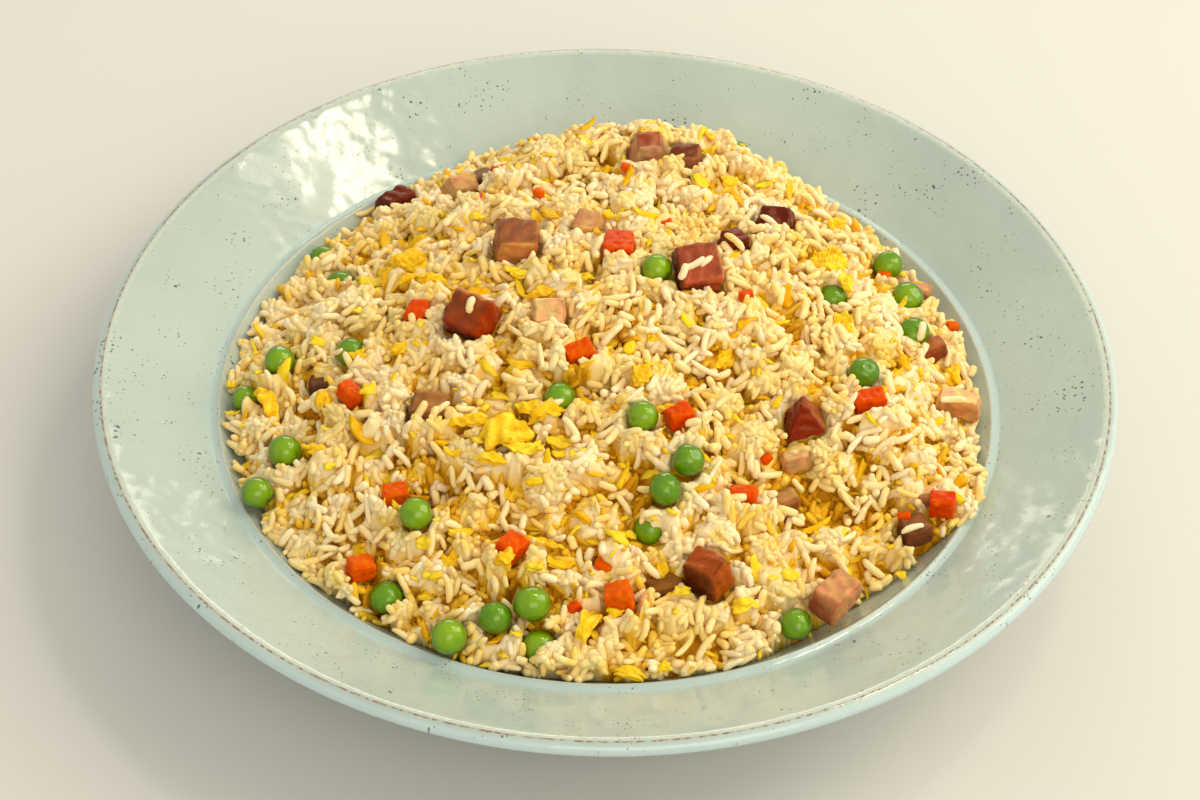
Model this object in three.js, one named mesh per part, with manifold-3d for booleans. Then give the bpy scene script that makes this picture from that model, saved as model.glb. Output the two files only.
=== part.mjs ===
// A wide-rimmed stoneware plate heaped with fried rice: peas, diced carrot, diced roast pork
// and scrambled egg lie in and on the rice. Millimetres, +Z up, origin at the centre of the
// foot ring's resting plane.
import * as THREE from 'three';
import { mergeVertices } from 'three/addons/utils/BufferGeometryUtils.js';
import { ConvexGeometry } from 'three/addons/geometries/ConvexGeometry.js';
import Module from 'manifold-3d';

const wasm = await Module();
wasm.setup();

// ---------------------------------------------------------------- driving dimensions
// Plate
const PLATE_RADIUS = 140;
const PLATE_SIDES = 56;
const FLOOR_RADIUS = 60;
const FLOOR_HEIGHT = 8;
const WELL_RADIUS = 106.6; // crest of the thin ridge between rim and well
const WELL_EDGE_HEIGHT = 28.2;
const WELL_WALL_POWER = 2.5; // how late the wall turns up from the floor
const GROOVE_RADIUS = 109; // shallow ring just outside the ridge
const GROOVE_HEIGHT = 27.9;
const CREST_RADIUS = 137.2; // highest line of the rolled lip
const CREST_HEIGHT = 42.2;
const LIP_RADIUS = 2.8;
const LIP_FLATNESS = 0.6;
const LIP_EQUATOR = 10; // degrees above level where the lip is widest
const LIP_ANGLES = [-100, -45, LIP_EQUATOR, 60];
const WALL_THICKNESS = 4.4;
const FOOT_OUTER_RADIUS = 76;
const FOOT_INNER_RADIUS = 69;
const FOOT_CHAMFER = 1.2;
const BASE_RECESS = 2.6;
const WALL_RADII = [104.5, 101, 96, 89, 80, 70]; // where the section of the well's wall has corners
const WALL_OUTSIDE_RADII = [84, 94, 101];
const RIM_UNDER_OFFSET = 2; // from the groove to the corner under it

// Heap of rice
const HEAP_RADIUS = 103.5;
const HEAP_PEAK = { x: 5, y: 12, z: 58 };
const HEAP_SPILLS = [ // where the outline swells or draws in: azimuth and width in degrees
  { azimuth: 83, width: 33, reach: 5.5 },
  { azimuth: 338, width: 9, reach: 7 },
  { azimuth: 312, width: 14, reach: -5.5 },
  { azimuth: 148, width: 12, reach: -2 },
];
const SHOULDER = { x: 14, y: 88, height: 11, halfWidth: 46, halfDepth: 17 };
const SHOULDER_FADE = 8; // how steeply the shoulder ends at the outline
const HEAP_RINGS = 32; // rings of facets, each a grain's width apart
const LATTICE_JITTER = 0.22; // along a ring, as a share of the spacing
const RING_UNEVENNESS = 0.6; // across a ring
const EDGE_BLEND_RINGS = 3; // over which clumps level out at the outline
const UNDERSIDE_RADII = [60, 80, 91, 98, 103, WELL_RADIUS];
const UNDERSIDE_SIDES = 48;
const UNDERSIDE_STEP = 0.5; // least distance between two rings
const UNDERSIDE_GAP = 0.6; // heap to plate
const RIDGE_CLEARANCE = 1.5; // the underside is already level with the ridge this far inside it
const THINNEST_RICE = 0.9;
const EDGE_RICE = 0.8; // half the thickness of the heap's outermost grains
const EDGE_UNEVENNESS = 1.2;
const CLUMP_COUNT = 90;
const CLUMP_RADIUS = [5, 11];
const CLUMP_HEIGHT = 2.4;
const GRAIN_LENGTH = 8.5;
const GRAIN_RISE = 1.3;
const CREVICE_DEPTH = 1.5;
const GRAIN_STEP = GRAIN_LENGTH / 2 - 1; // between the points that share a grain
const GRAIN_REACH = 0.62; // how far off its step a point may be, as a share of the step
const GRAIN_SLOPE = 0.4;
const PIECE_GAP = 0.45; // rice to any piece that lies in it
const PLAN_SPACING = 0.5; // between samples of a piece's plan
const PRESS_SWEEPS = 80;
const PRESS_TOLERANCE = 0.02;
const FLAKE_COUNT = 49;
const FLAKE = { length: 7, width: 4.6, thickness: 2.2, lean: 20, rise: 0.3 };
const FLAKE_SIZES = [0.7, 1.05];
const FLAKE_MARGIN = 10; // clear of the outline

// Pieces in the rice. Each row gives the place in plan and the lift of the centre above the heap's
// mean height, and then what its list's first line names, in millimetres and degrees.
const PEAS = [ // diameter
  [-82, 55, -3, 8.6], [-76, 40, -3, 8.6], [-90, 3, 2.5, 9], [-99.5, -4.5, 0, 7.8],
  [-86, -31, 2, 9.4], [-92.5, -44, -0.5, 9], [-49, -60, 2.5, 9.2], [-56, -78, -2, 9],
  [-39, -95, 3, 9.6], [-27.3, -89.5, 2.5, 9.2], [-18, -87, 3, 10], [-16, -94, -2.5, 9],
  [-12, -27, -1, 9], [10, -35, 1.5, 9], [22, -48, 3, 9.2], [16, -56.5, 2.5, 9],
  [13.5, 18.5, 1.5, 8.8], [80.3, 50, 1.5, 8.8], [85, 35, 1.5, 9], [86, 20, 0, 8.8],
  [70, -9, 2.5, 9], [50.3, -85, -1, 9],
];
const CARROTS = [ // length, width, height, turn, share of each corner that is cut
  [3, 27, 2, 10, 8, 6, 85, 0.34], [-52, 8, 1, 7.5, 5.5, 5, 80, 0.2],
  [-7, -14, 1, 7.5, 5.5, 5, 20, 0.2],
  [-69, -17, 1, 8, 4.5, 4.5, -55, 0.2], [-55, -52, 0.5, 6.5, 5.5, 5, 10, 0.12],
  [-63, -71, 1, 6.5, 6, 5.5, 25, 0.2], [-23.5, -71, 1, 6.5, 6.5, 5, -35, 0.15],
  [19.5, -34, 1.5, 7, 5.5, 5, 30, 0.2], [36.5, -53, 0.5, 7.5, 5, 4.5, -10, 0.3],
  [4.5, -85, 2, 7, 6.5, 7, 5, 0.12], [71, -20.5, 2, 8.5, 6, 5.5, 15, 0.12],
  [90, -46, 1.5, 6.5, 6, 5.5, -5, 0.2], [-30, 73.5, 1, 6, 5, 4, -30, 0.2],
  [-37.5, 61.5, 0.5, 5.5, 4.5, 4, 15, 0.2],
];
const PORK = [ // length, width, height, turn, lean towards -Y, taper of the top
  [11, 75.5, 2.5, 11, 8, 10, 8, 12, 0.62], [22, 75.5, 1, 9, 7, 6, -8, 5, 0.9],
  [24.5, 19, 3, 13, 12, 10, 10, 28, 0.92], [35, 37, 0, 8, 7, 7, 40, 0, 0.8],
  [47.5, 52, 2, 11, 8, 7, -12, 20, 0.8], [-25.5, 32, 2.5, 11.5, 10, 10, 3, 6, 0.95],
  [-6, 40, 0.5, 7.5, 7.5, 7, -18, 10, 0.9], [-37, 1, 3, 12.5, 11, 10, -33, 30, 0.9],
  [-16, 1, 1, 9, 7.5, 7.5, 6, 35, 0.95], [-62.5, 79, 1, 12, 5.5, 5.5, 43, 0, 0.8],
  [-42.5, 73.5, 1, 10, 7, 6, 28, 15, 0.9], [53, -27.5, 2, 11, 10, 9.5, 12, 0, 0.12],
  [97, -5, 2, 13, 6.5, 6.5, -8, 0, 0.85], [27, -77, 1.5, 11, 9, 9.5, -38, 10, 0.85],
  [60.8, -78, 1.5, 13, 9, 8.5, 55, 12, 0.85], [83, -51.7, 0, 8, 7, 6, 20, 0, 0.85],
  [88, 43, 0, 9, 5, 4.5, -10, 0, 0.85], [-47, -27, -0.5, 11, 9, 7, -15, 10, 0.85],
];
const EGGS = [ // length, width, turn, height of the curl
  [-26, -39, 1.8, 13, 10.5, 25, 2.2], [62, 37, 2, 10.5, 9.5, -20, 2],
  [-3, -91, 1.8, 13, 4.8, 70, 3.4], [-92.5, -11, 1.5, 12, 4.5, -60, 2.4],
];
const PEA_FLATTENING = [0.9, 0.98];
const DICE_UNEVENNESS = 0.1; // how far a cut corner is out of true, as a share of its place
const CARROT_LEAN = 12;
const PORK_CORNER_CUT = 0.14;
const SIDE_LEAN = 8; // pork and egg
const EGG_THICKNESS = 1.8;
const EGG_NARROWING = 0.7; // how far an egg curd's ends draw in
const EGG_FACETS = { long: 7, wide: 4 };

const COLOURS = {
  plate: '#c6d2bf',
  rice: '#ebdda5',
  pea: '#5fa31e',
  carrot: '#ee5a14',
  pork: '#8a4434',
  egg: '#f2c428',
};

// ---------------------------------------------------------------- small tools
function seededRandom(seed) {
  let state = seed >>> 0;
  return () => {
    state = (state + 0x6d2b79f5) >>> 0;
    let mixed = Math.imul(state ^ (state >>> 15), 1 | state);
    mixed = (mixed + Math.imul(mixed ^ (mixed >>> 7), 61 | mixed)) ^ mixed;
    return ((mixed ^ (mixed >>> 14)) >>> 0) / 4294967296;
  };
}

function between(random, low, high) {
  return low + (high - low) * random();
}

function radians(degrees) {
  return THREE.MathUtils.degToRad(degrees);
}

// Joins equal corners and leaves only positions, so that a closed surface is one shell.
function joined(geometry) {
  const bare = geometry.clone();
  bare.deleteAttribute('normal');
  bare.deleteAttribute('uv');
  return mergeVertices(bare, 1e-4);
}

function finished(geometry) {
  geometry.computeVertexNormals();
  return geometry;
}

function meshGeometry(points, triangles) {
  const geometry = new THREE.BufferGeometry();
  geometry.setAttribute('position', new THREE.Float32BufferAttribute(points.flat(), 3));
  geometry.setIndex(triangles.flat());
  return finished(geometry);
}

function toManifold(geometry) {
  const closed = joined(geometry);
  return new wasm.Manifold(new wasm.Mesh({
    numProp: 3,
    vertProperties: new Float32Array(closed.attributes.position.array),
    triVerts: new Uint32Array(closed.index.array),
  }));
}

function fromManifold(solid) {
  const result = solid.getMesh();
  const geometry = new THREE.BufferGeometry();
  geometry.setAttribute('position', new THREE.BufferAttribute(result.vertProperties, 3));
  geometry.setIndex(new THREE.BufferAttribute(result.triVerts, 1));
  return finished(geometry);
}

function piece(name, geometry, colour, roughness) {
  const material = new THREE.MeshStandardMaterial({ color: colour, roughness, metalness: 0 });
  const mesh = new THREE.Mesh(geometry, material);
  mesh.name = name;
  return mesh;
}

// ---------------------------------------------------------------- plate
// Height of the plate's upper surface at a distance from its axis.
function plateTop(radius) {
  if (radius <= FLOOR_RADIUS) {
    return FLOOR_HEIGHT;
  }
  if (radius <= WELL_RADIUS) {
    const along = (radius - FLOOR_RADIUS) / (WELL_RADIUS - FLOOR_RADIUS);
    return FLOOR_HEIGHT + (WELL_EDGE_HEIGHT - FLOOR_HEIGHT) * along ** WELL_WALL_POWER;
  }
  if (radius <= GROOVE_RADIUS) {
    const along = (radius - WELL_RADIUS) / (GROOVE_RADIUS - WELL_RADIUS);
    return THREE.MathUtils.lerp(WELL_EDGE_HEIGHT, GROOVE_HEIGHT, along);
  }
  const along = (radius - GROOVE_RADIUS) / (CREST_RADIUS - GROOVE_RADIUS);
  return THREE.MathUtils.lerp(GROOVE_HEIGHT, CREST_HEIGHT, along);
}

// Half section from the underside's centre, out round the lip and back to the floor's centre.
function plateProfile() {
  const outline = [
    [0, BASE_RECESS],
    [FOOT_INNER_RADIUS - FOOT_CHAMFER, BASE_RECESS],
    [FOOT_INNER_RADIUS, 0],
    [FOOT_OUTER_RADIUS - FOOT_CHAMFER, 0],
    [FOOT_OUTER_RADIUS, FOOT_CHAMFER],
  ];
  for (const radius of WALL_OUTSIDE_RADII) {
    outline.push([radius + WALL_THICKNESS, plateTop(radius) - WALL_THICKNESS / 2]);
  }
  outline.push([GROOVE_RADIUS + RIM_UNDER_OFFSET, GROOVE_HEIGHT - WALL_THICKNESS]);
  for (const angle of LIP_ANGLES) {
    const turn = radians(angle);
    outline.push([
      PLATE_RADIUS - LIP_RADIUS + LIP_RADIUS * Math.cos(turn) / Math.cos(radians(LIP_EQUATOR)),
      CREST_HEIGHT - LIP_RADIUS + LIP_RADIUS * LIP_FLATNESS * Math.sin(turn),
    ]);
  }
  for (const radius of [CREST_RADIUS, GROOVE_RADIUS, WELL_RADIUS, ...WALL_RADII, FLOOR_RADIUS, 0]) {
    outline.push([radius, plateTop(radius)]);
  }
  return outline.map(([radius, height]) => new THREE.Vector2(radius, height));
}

function plate() {
  const geometry = new THREE.LatheGeometry(plateProfile(), PLATE_SIDES);
  geometry.rotateX(Math.PI / 2);
  return piece('plate', finished(joined(geometry)), COLOURS.plate, 0.25);
}

// ---------------------------------------------------------------- form of the heap
function angleApart(a, b) {
  return Math.abs(((a - b + 540) % 360) - 180);
}

function heapRadius(angle) {
  const azimuth = (THREE.MathUtils.radToDeg(angle) + 360) % 360;
  let radius = HEAP_RADIUS;
  for (const spill of HEAP_SPILLS) {
    radius += spill.reach * Math.exp(-((angleApart(azimuth, spill.azimuth) / spill.width) ** 2));
  }
  return radius;
}

// Distance from the heap's peak to its outline in one direction.
function reachFromPeak(directionX, directionY) {
  let reach = HEAP_RADIUS;
  for (let step = 0; step < 12; step += 1) {
    const x = HEAP_PEAK.x + directionX * reach;
    const y = HEAP_PEAK.y + directionY * reach;
    reach *= heapRadius(Math.atan2(y, x)) / Math.hypot(x, y);
  }
  return reach;
}

// Mean height of the heap: a dome from the peak to the outline, with a full shoulder at the back.
function heapHeight(x, y) {
  const offX = x - HEAP_PEAK.x;
  const offY = y - HEAP_PEAK.y;
  const distance = Math.hypot(offX, offY) + 1e-6;
  const directionX = offX / distance;
  const directionY = offY / distance;
  const reach = reachFromPeak(directionX, directionY);
  const edgeRadius = Math.hypot(HEAP_PEAK.x + directionX * reach, HEAP_PEAK.y + directionY * reach);
  const edge = plateTop(edgeRadius) + UNDERSIDE_GAP + EDGE_RICE;
  const share = Math.min(distance / reach, 1);
  const dome = edge + (HEAP_PEAK.z - edge) * (1 - share ** 2);
  const across = ((x - SHOULDER.x) / SHOULDER.halfWidth) ** 4;
  const along = ((y - SHOULDER.y) / SHOULDER.halfDepth) ** 2;
  const fade = Math.min((1 - share) * SHOULDER_FADE, 1);
  return dome + SHOULDER.height * Math.exp(-across - along) * fade;
}

// ---------------------------------------------------------------- pieces in the rice
// Lowest height of the rice's surface, and above it the bed that a piece may rest on.
function thinRiceHeight(x, y) {
  return plateTop(Math.hypot(x, y)) + UNDERSIDE_GAP + THINNEST_RICE;
}

function bedHeight(x, y) {
  return thinRiceHeight(x, y) + PIECE_GAP;
}

// Turns, leans and places a piece at its plan position, then lifts it clear of its bed.
function settled(geometry, [x, y, lift], turn, leanX, leanY) {
  geometry.rotateX(leanX);
  geometry.rotateY(leanY);
  geometry.rotateZ(turn);
  geometry.translate(x, y, heapHeight(x, y) + lift);
  const position = geometry.attributes.position;
  let short = 0;
  for (let i = 0; i < position.count; i += 1) {
    short = Math.max(short, bedHeight(position.getX(i), position.getY(i)) - position.getZ(i));
  }
  geometry.translate(0, 0, short);
  return finished(geometry);
}

function pea(random, diameter) {
  const geometry = joined(new THREE.IcosahedronGeometry(diameter / 2, 1));
  geometry.scale(1, between(random, ...PEA_FLATTENING), between(random, ...PEA_FLATTENING));
  return geometry;
}

// A diced block: a box whose corners are cut and a little out of true. A taper under 1 narrows
// its top, down to a wedge near 0.
function diced(random, length, width, height, cut, taper = 1) {
  const points = [];
  for (const signX of [-1, 1]) {
    for (const signY of [-1, 1]) {
      for (const signZ of [-1, 1]) {
        const scale = () => 1 + between(random, -DICE_UNEVENNESS, DICE_UNEVENNESS);
        const narrow = signZ > 0 ? taper : 1;
        const corner = [
          signX * narrow * length / 2 * scale(),
          signY * Math.sqrt(narrow) * width / 2 * scale(),
          signZ * height / 2 * scale(),
        ];
        for (let axis = 0; axis < 3; axis += 1) {
          const point = corner.slice();
          point[axis] *= 1 - cut;
          points.push(new THREE.Vector3(...point));
        }
      }
    }
  }
  return joined(new ConvexGeometry(points));
}

// Two triangles for the quad a, b, c, d.
function quad(a, b, c, d) {
  return [[a, b, c], [a, c, d]];
}

// A curd of scrambled egg: a thin wavy oval, both faces divided alike.
function eggCurd(random, length, width, curl) {
  const { long, wide } = EGG_FACETS;
  const phase = between(random, 0, Math.PI);
  const points = [];
  for (const side of [1, -1]) {
    for (let i = 0; i <= long; i += 1) {
      for (let j = 0; j <= wide; j += 1) {
        const u = 2 * i / long - 1;
        const v = 2 * j / wide - 1;
        const narrowing = Math.sqrt(1 - EGG_NARROWING * u * u) * between(random, 0.9, 1.1);
        const wave = Math.sin(2.6 * u + phase) / 2 + v * v * Math.cos(3 * u) / 2;
        const height = curl * wave + side * EGG_THICKNESS / 2;
        points.push([u * length / 2, v * width / 2 * narrowing, height]);
      }
    }
  }
  const row = wide + 1;
  const layer = row * (long + 1);
  const triangles = [];
  for (let i = 0; i < long; i += 1) {
    for (let j = 0; j < wide; j += 1) {
      const a = i * row + j;
      const below = layer + a;
      triangles.push(...quad(a, a + row, a + row + 1, a + 1));
      triangles.push(...quad(below, below + 1, below + row + 1, below + row));
    }
  }
  const border = [];
  for (let i = 0; i < long; i += 1) border.push(i * row);
  for (let j = 0; j < wide; j += 1) border.push(long * row + j);
  for (let i = long; i > 0; i -= 1) border.push(i * row + wide);
  for (let j = wide; j > 0; j -= 1) border.push(j);
  border.forEach((here, index) => {
    const next = border[(index + 1) % border.length];
    triangles.push(...quad(here, layer + here, layer + next, next));
  });
  return meshGeometry(points, triangles);
}

function numbered(kind, index) {
  return `${kind}_${String(index + 1).padStart(2, '0')}`;
}

function piecesInRice() {
  const random = seededRandom(11);
  const lean = (degrees) => radians(between(random, -degrees, degrees));
  const meshes = [];
  PEAS.forEach((row, index) => {
    const geometry = pea(random, row[3]);
    settled(geometry, row, lean(180), lean(90), lean(90));
    meshes.push(piece(numbered('pea', index), geometry, COLOURS.pea, 0.3));
  });
  CARROTS.forEach((row, index) => {
    const [, , , length, width, height, turn, cut] = row;
    const geometry = diced(random, length, width, height, cut);
    settled(geometry, row, radians(turn), lean(CARROT_LEAN), lean(CARROT_LEAN));
    meshes.push(piece(numbered('carrot', index), geometry, COLOURS.carrot, 0.35));
  });
  PORK.forEach((row, index) => {
    const [, , , length, width, height, turn, forward, taper] = row;
    const geometry = diced(random, length, width, height, PORK_CORNER_CUT, taper);
    settled(geometry, row, radians(turn), radians(forward), lean(SIDE_LEAN));
    meshes.push(piece(numbered('pork', index), geometry, COLOURS.pork, 0.4));
  });
  EGGS.forEach((row, index) => {
    const [, , , length, width, turn, curl] = row;
    const geometry = eggCurd(random, length, width, curl);
    settled(geometry, row, radians(turn), lean(SIDE_LEAN), lean(SIDE_LEAN));
    meshes.push(piece(numbered('egg', index), geometry, COLOURS.egg, 0.5));
  });
  return meshes;
}

// ---------------------------------------------------------------- heap of rice
const heapRandom = seededRandom(5);

function makeClumps() {
  const clumps = [];
  for (let i = 0; i < CLUMP_COUNT; i += 1) {
    const distance = HEAP_RADIUS * Math.sqrt(heapRandom());
    const angle = between(heapRandom, 0, 2 * Math.PI);
    clumps.push({
      x: distance * Math.cos(angle),
      y: distance * Math.sin(angle),
      radius: between(heapRandom, ...CLUMP_RADIUS),
      height: between(heapRandom, -0.7, 1) * CLUMP_HEIGHT,
    });
  }
  return clumps;
}

function clumpHeight(clumps, x, y) {
  let height = 0;
  for (const clump of clumps) {
    const away = Math.hypot(x - clump.x, y - clump.y) / clump.radius;
    height += clump.height * Math.exp(-away * away);
  }
  return height;
}

// Rings of points from the axis to the outline, each ring turned at random.
function latticeRings() {
  const clumps = makeClumps();
  const rings = [[{ x: 0, y: 0, z: heapHeight(0, 0), angle: 0 }]];
  for (let ring = 1; ring <= HEAP_RINGS; ring += 1) {
    const count = 6 * ring;
    const start = between(heapRandom, 0, 1);
    const points = [];
    for (let i = 0; i < count; i += 1) {
      const jitter = between(heapRandom, -LATTICE_JITTER, LATTICE_JITTER);
      const angle = 2 * Math.PI * (i + start + jitter) / count;
      const outermost = ring === HEAP_RINGS;
      const unevenness = outermost ? EDGE_UNEVENNESS : RING_UNEVENNESS;
      const offset = between(heapRandom, -unevenness, unevenness);
      const radius = heapRadius(angle) * ring / HEAP_RINGS + offset;
      const x = radius * Math.cos(angle);
      const y = radius * Math.sin(angle);
      const edge = plateTop(radius) + UNDERSIDE_GAP + EDGE_RICE;
      const nearEdge = Math.min((HEAP_RINGS - ring) / EDGE_BLEND_RINGS, 1);
      const height = heapHeight(x, y) + clumpHeight(clumps, x, y) * nearEdge;
      const z = outermost ? edge : Math.max(height, edge + EDGE_RICE);
      points.push({ x, y, z, angle });
    }
    rings.push(points);
  }
  return rings;
}

function nearestFree(points, x, y, within) {
  let best = null;
  let nearest = within;
  for (const point of points) {
    const away = Math.hypot(point.x - x, point.y - y);
    if (!point.taken && away < nearest) {
      nearest = away;
      best = point;
    }
  }
  return best;
}

// Lays grains over the lattice: a grain is a run of three points that share a level and a slope,
// and a point that no grain takes is a crevice.
function layGrains(points) {
  const order = points.map((point) => ({ point, key: heapRandom() }));
  order.sort((a, b) => a.key - b.key);
  for (const { point } of order) {
    if (point.taken) continue;
    const heading = between(heapRandom, 0, Math.PI);
    const stepX = GRAIN_STEP * Math.cos(heading);
    const stepY = GRAIN_STEP * Math.sin(heading);
    point.taken = true;
    const ahead = nearestFree(points, point.x + stepX, point.y + stepY, GRAIN_STEP * GRAIN_REACH);
    const behind = nearestFree(points, point.x - stepX, point.y - stepY, GRAIN_STEP * GRAIN_REACH);
    if (!ahead && !behind) {
      point.z -= CREVICE_DEPTH;
      continue;
    }
    const level = between(heapRandom, -0.4, 1) * GRAIN_RISE;
    const slope = between(heapRandom, -GRAIN_SLOPE, GRAIN_SLOPE);
    point.z += level;
    if (ahead) {
      ahead.taken = true;
      ahead.z += level + slope;
    }
    if (behind) {
      behind.taken = true;
      behind.z += level - slope;
    }
  }
}

// Triangles between two rings of points that are sorted by angle.
function stitch(inner, outer, triangles) {
  let i = 0;
  let j = 0;
  const turn = 2 * Math.PI;
  const angleOf = (ring, index) => {
    const wraps = Math.floor(index / ring.length);
    return ring[index % ring.length].angle + turn * wraps;
  };
  while (i < inner.length || j < outer.length) {
    const a = inner[i % inner.length].index;
    const b = outer[j % outer.length].index;
    const innerDone = i >= inner.length;
    if (j < outer.length && (innerDone || angleOf(outer, j + 1) <= angleOf(inner, i + 1))) {
      triangles.push([a, b, outer[(j + 1) % outer.length].index]);
      j += 1;
    } else {
      triangles.push([a, b, inner[(i + 1) % inner.length].index]);
      i += 1;
    }
  }
}

// Rings of the underside, from the outline in to the floor's centre.
function undersideRings() {
  const rings = [];
  UNDERSIDE_RADII.forEach((radius, level) => {
    const points = [];
    for (let i = 0; i < UNDERSIDE_SIDES; i += 1) {
      const angle = 2 * Math.PI * (i + 0.5) / UNDERSIDE_SIDES;
      const stepsIn = UNDERSIDE_RADII.length - level;
      const inside = heapRadius(angle) - EDGE_UNEVENNESS - UNDERSIDE_STEP * stepsIn;
      const distance = Math.min(radius, inside);
      const nearRidge = distance > WELL_RADIUS - RIDGE_CLEARANCE;
      points.push({
        x: distance * Math.cos(angle),
        y: distance * Math.sin(angle),
        z: (nearRidge ? WELL_EDGE_HEIGHT : plateTop(distance)) + UNDERSIDE_GAP,
        angle,
      });
    }
    rings.push(points);
  });
  return rings;
}

// Lowest height of a piece over one point of the plan, or null beside it.
function undersideOf(corners, x, y) {
  let lowest = null;
  for (let i = 0; i < corners.length; i += 3) {
    const triangle = corners.slice(i, i + 3);
    const shares = sharesAt(triangle, { x, y });
    if (!shares || !shares.every(Number.isFinite)) continue;
    const z = triangle[0].z * shares[0] + triangle[1].z * shares[1] + triangle[2].z * shares[2];
    if (lowest === null || z < lowest) lowest = z;
  }
  return lowest;
}

function cornersOf(geometry) {
  const flat = geometry.index ? geometry.toNonIndexed() : geometry;
  const position = flat.attributes.position;
  const corners = [];
  for (let i = 0; i < position.count; i += 1) {
    corners.push(new THREE.Vector3().fromBufferAttribute(position, i));
  }
  return corners;
}

// The plan of one piece, sampled closely: where the rice has to stay below it.
function limitsUnder(mesh) {
  const corners = cornersOf(mesh.geometry);
  const box = new THREE.Box3().setFromPoints(corners);
  const around = [[0, 0]];
  for (let turn = 0; turn < 360; turn += 45) {
    around.push([PIECE_GAP * Math.cos(radians(turn)), PIECE_GAP * Math.sin(radians(turn))]);
  }
  const limits = [];
  for (let x = box.min.x - PIECE_GAP; x <= box.max.x + PIECE_GAP; x += PLAN_SPACING) {
    for (let y = box.min.y - PIECE_GAP; y <= box.max.y + PIECE_GAP; y += PLAN_SPACING) {
      const heights = around.map(([shiftX, shiftY]) => undersideOf(corners, x + shiftX, y + shiftY));
      const found = heights.filter((z) => z !== null);
      if (found.length > 0) limits.push({ x, y, z: Math.min(...found) - PIECE_GAP });
    }
  }
  return limits;
}

// Shares of a triangle's corners at a point of the plan, or null outside it.
function sharesAt([a, b, c], { x, y }) {
  const area = (b.x - a.x) * (c.y - a.y) - (c.x - a.x) * (b.y - a.y);
  const u = ((x - a.x) * (c.y - a.y) - (c.x - a.x) * (y - a.y)) / area;
  const v = ((b.x - a.x) * (y - a.y) - (x - a.x) * (b.y - a.y)) / area;
  return u < 0 || v < 0 || u + v > 1 ? null : [1 - u - v, u, v];
}

function planBox(points) {
  return new THREE.Box2().setFromPoints(points.map(({ x, y }) => new THREE.Vector2(x, y)));
}

// Presses the rice down under each piece, only as far as it has to give way.
function pressUnder(meshes, points, triangles) {
  for (const mesh of meshes) {
    const limits = limitsUnder(mesh);
    const box = planBox(limits);
    const near = triangles.map((corners) => corners.map((index) => points[index]));
    const weights = [];
    for (const corners of near.filter((triangle) => planBox(triangle).intersectsBox(box))) {
      for (const limit of limits) {
        const shares = sharesAt(corners, limit);
        if (shares) weights.push({ corners, shares, z: limit.z });
      }
    }
    for (let sweep = 0; sweep < PRESS_SWEEPS; sweep += 1) {
      let worst = 0;
      for (const { corners, shares, z } of weights) {
        const height = corners.reduce((sum, corner, k) => sum + corner.z * shares[k], 0);
        const over = height - z;
        if (over <= 0) continue;
        worst = Math.max(worst, over);
        const total = shares[0] ** 2 + shares[1] ** 2 + shares[2] ** 2;
        corners.forEach((corner, k) => {
          const pressed = corner.z - over * shares[k] / total;
          corner.z = Math.max(pressed, thinRiceHeight(corner.x, corner.y));
        });
      }
      if (worst < PRESS_TOLERANCE) break;
    }
  }
}

// Flakes of egg fused to the rice, spread evenly and clear of the larger pieces.
function eggFlakes(meshes, points) {
  const flakes = [];
  const goldenAngle = Math.PI * (3 - Math.sqrt(5));
  const boxes = meshes.map((mesh) => new THREE.Box3().setFromPoints(cornersOf(mesh.geometry)));
  const clearance = FLAKE.length / 2 + PIECE_GAP;
  for (let i = 0; i < FLAKE_COUNT; i += 1) {
    const distance = (HEAP_RADIUS - FLAKE_MARGIN) * Math.sqrt((i + 0.5) / FLAKE_COUNT);
    const angle = i * goldenAngle + between(heapRandom, -0.1, 0.1);
    const x = distance * Math.cos(angle);
    const y = distance * Math.sin(angle);
    const size = between(heapRandom, ...FLAKE_SIZES);
    const turn = between(heapRandom, 0, Math.PI);
    const lean = radians(between(heapRandom, -FLAKE.lean, FLAKE.lean));
    const blocked = boxes.some((box) => {
      const insideX = x > box.min.x - clearance && x < box.max.x + clearance;
      return insideX && y > box.min.y - clearance && y < box.max.y + clearance;
    });
    if (blocked) continue;
    const under = points.filter((point) => Math.hypot(point.x - x, point.y - y) < FLAKE.length / 2);
    const height = under.reduce((sum, point) => sum + point.z, 0) / under.length;
    const geometry = joined(new THREE.OctahedronGeometry(0.5, 0));
    geometry.scale(FLAKE.length * size, FLAKE.width * size, FLAKE.thickness * size);
    geometry.rotateY(lean);
    geometry.rotateZ(turn);
    geometry.translate(x, y, height + FLAKE.rise);
    flakes.push(geometry);
  }
  return flakes;
}

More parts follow.
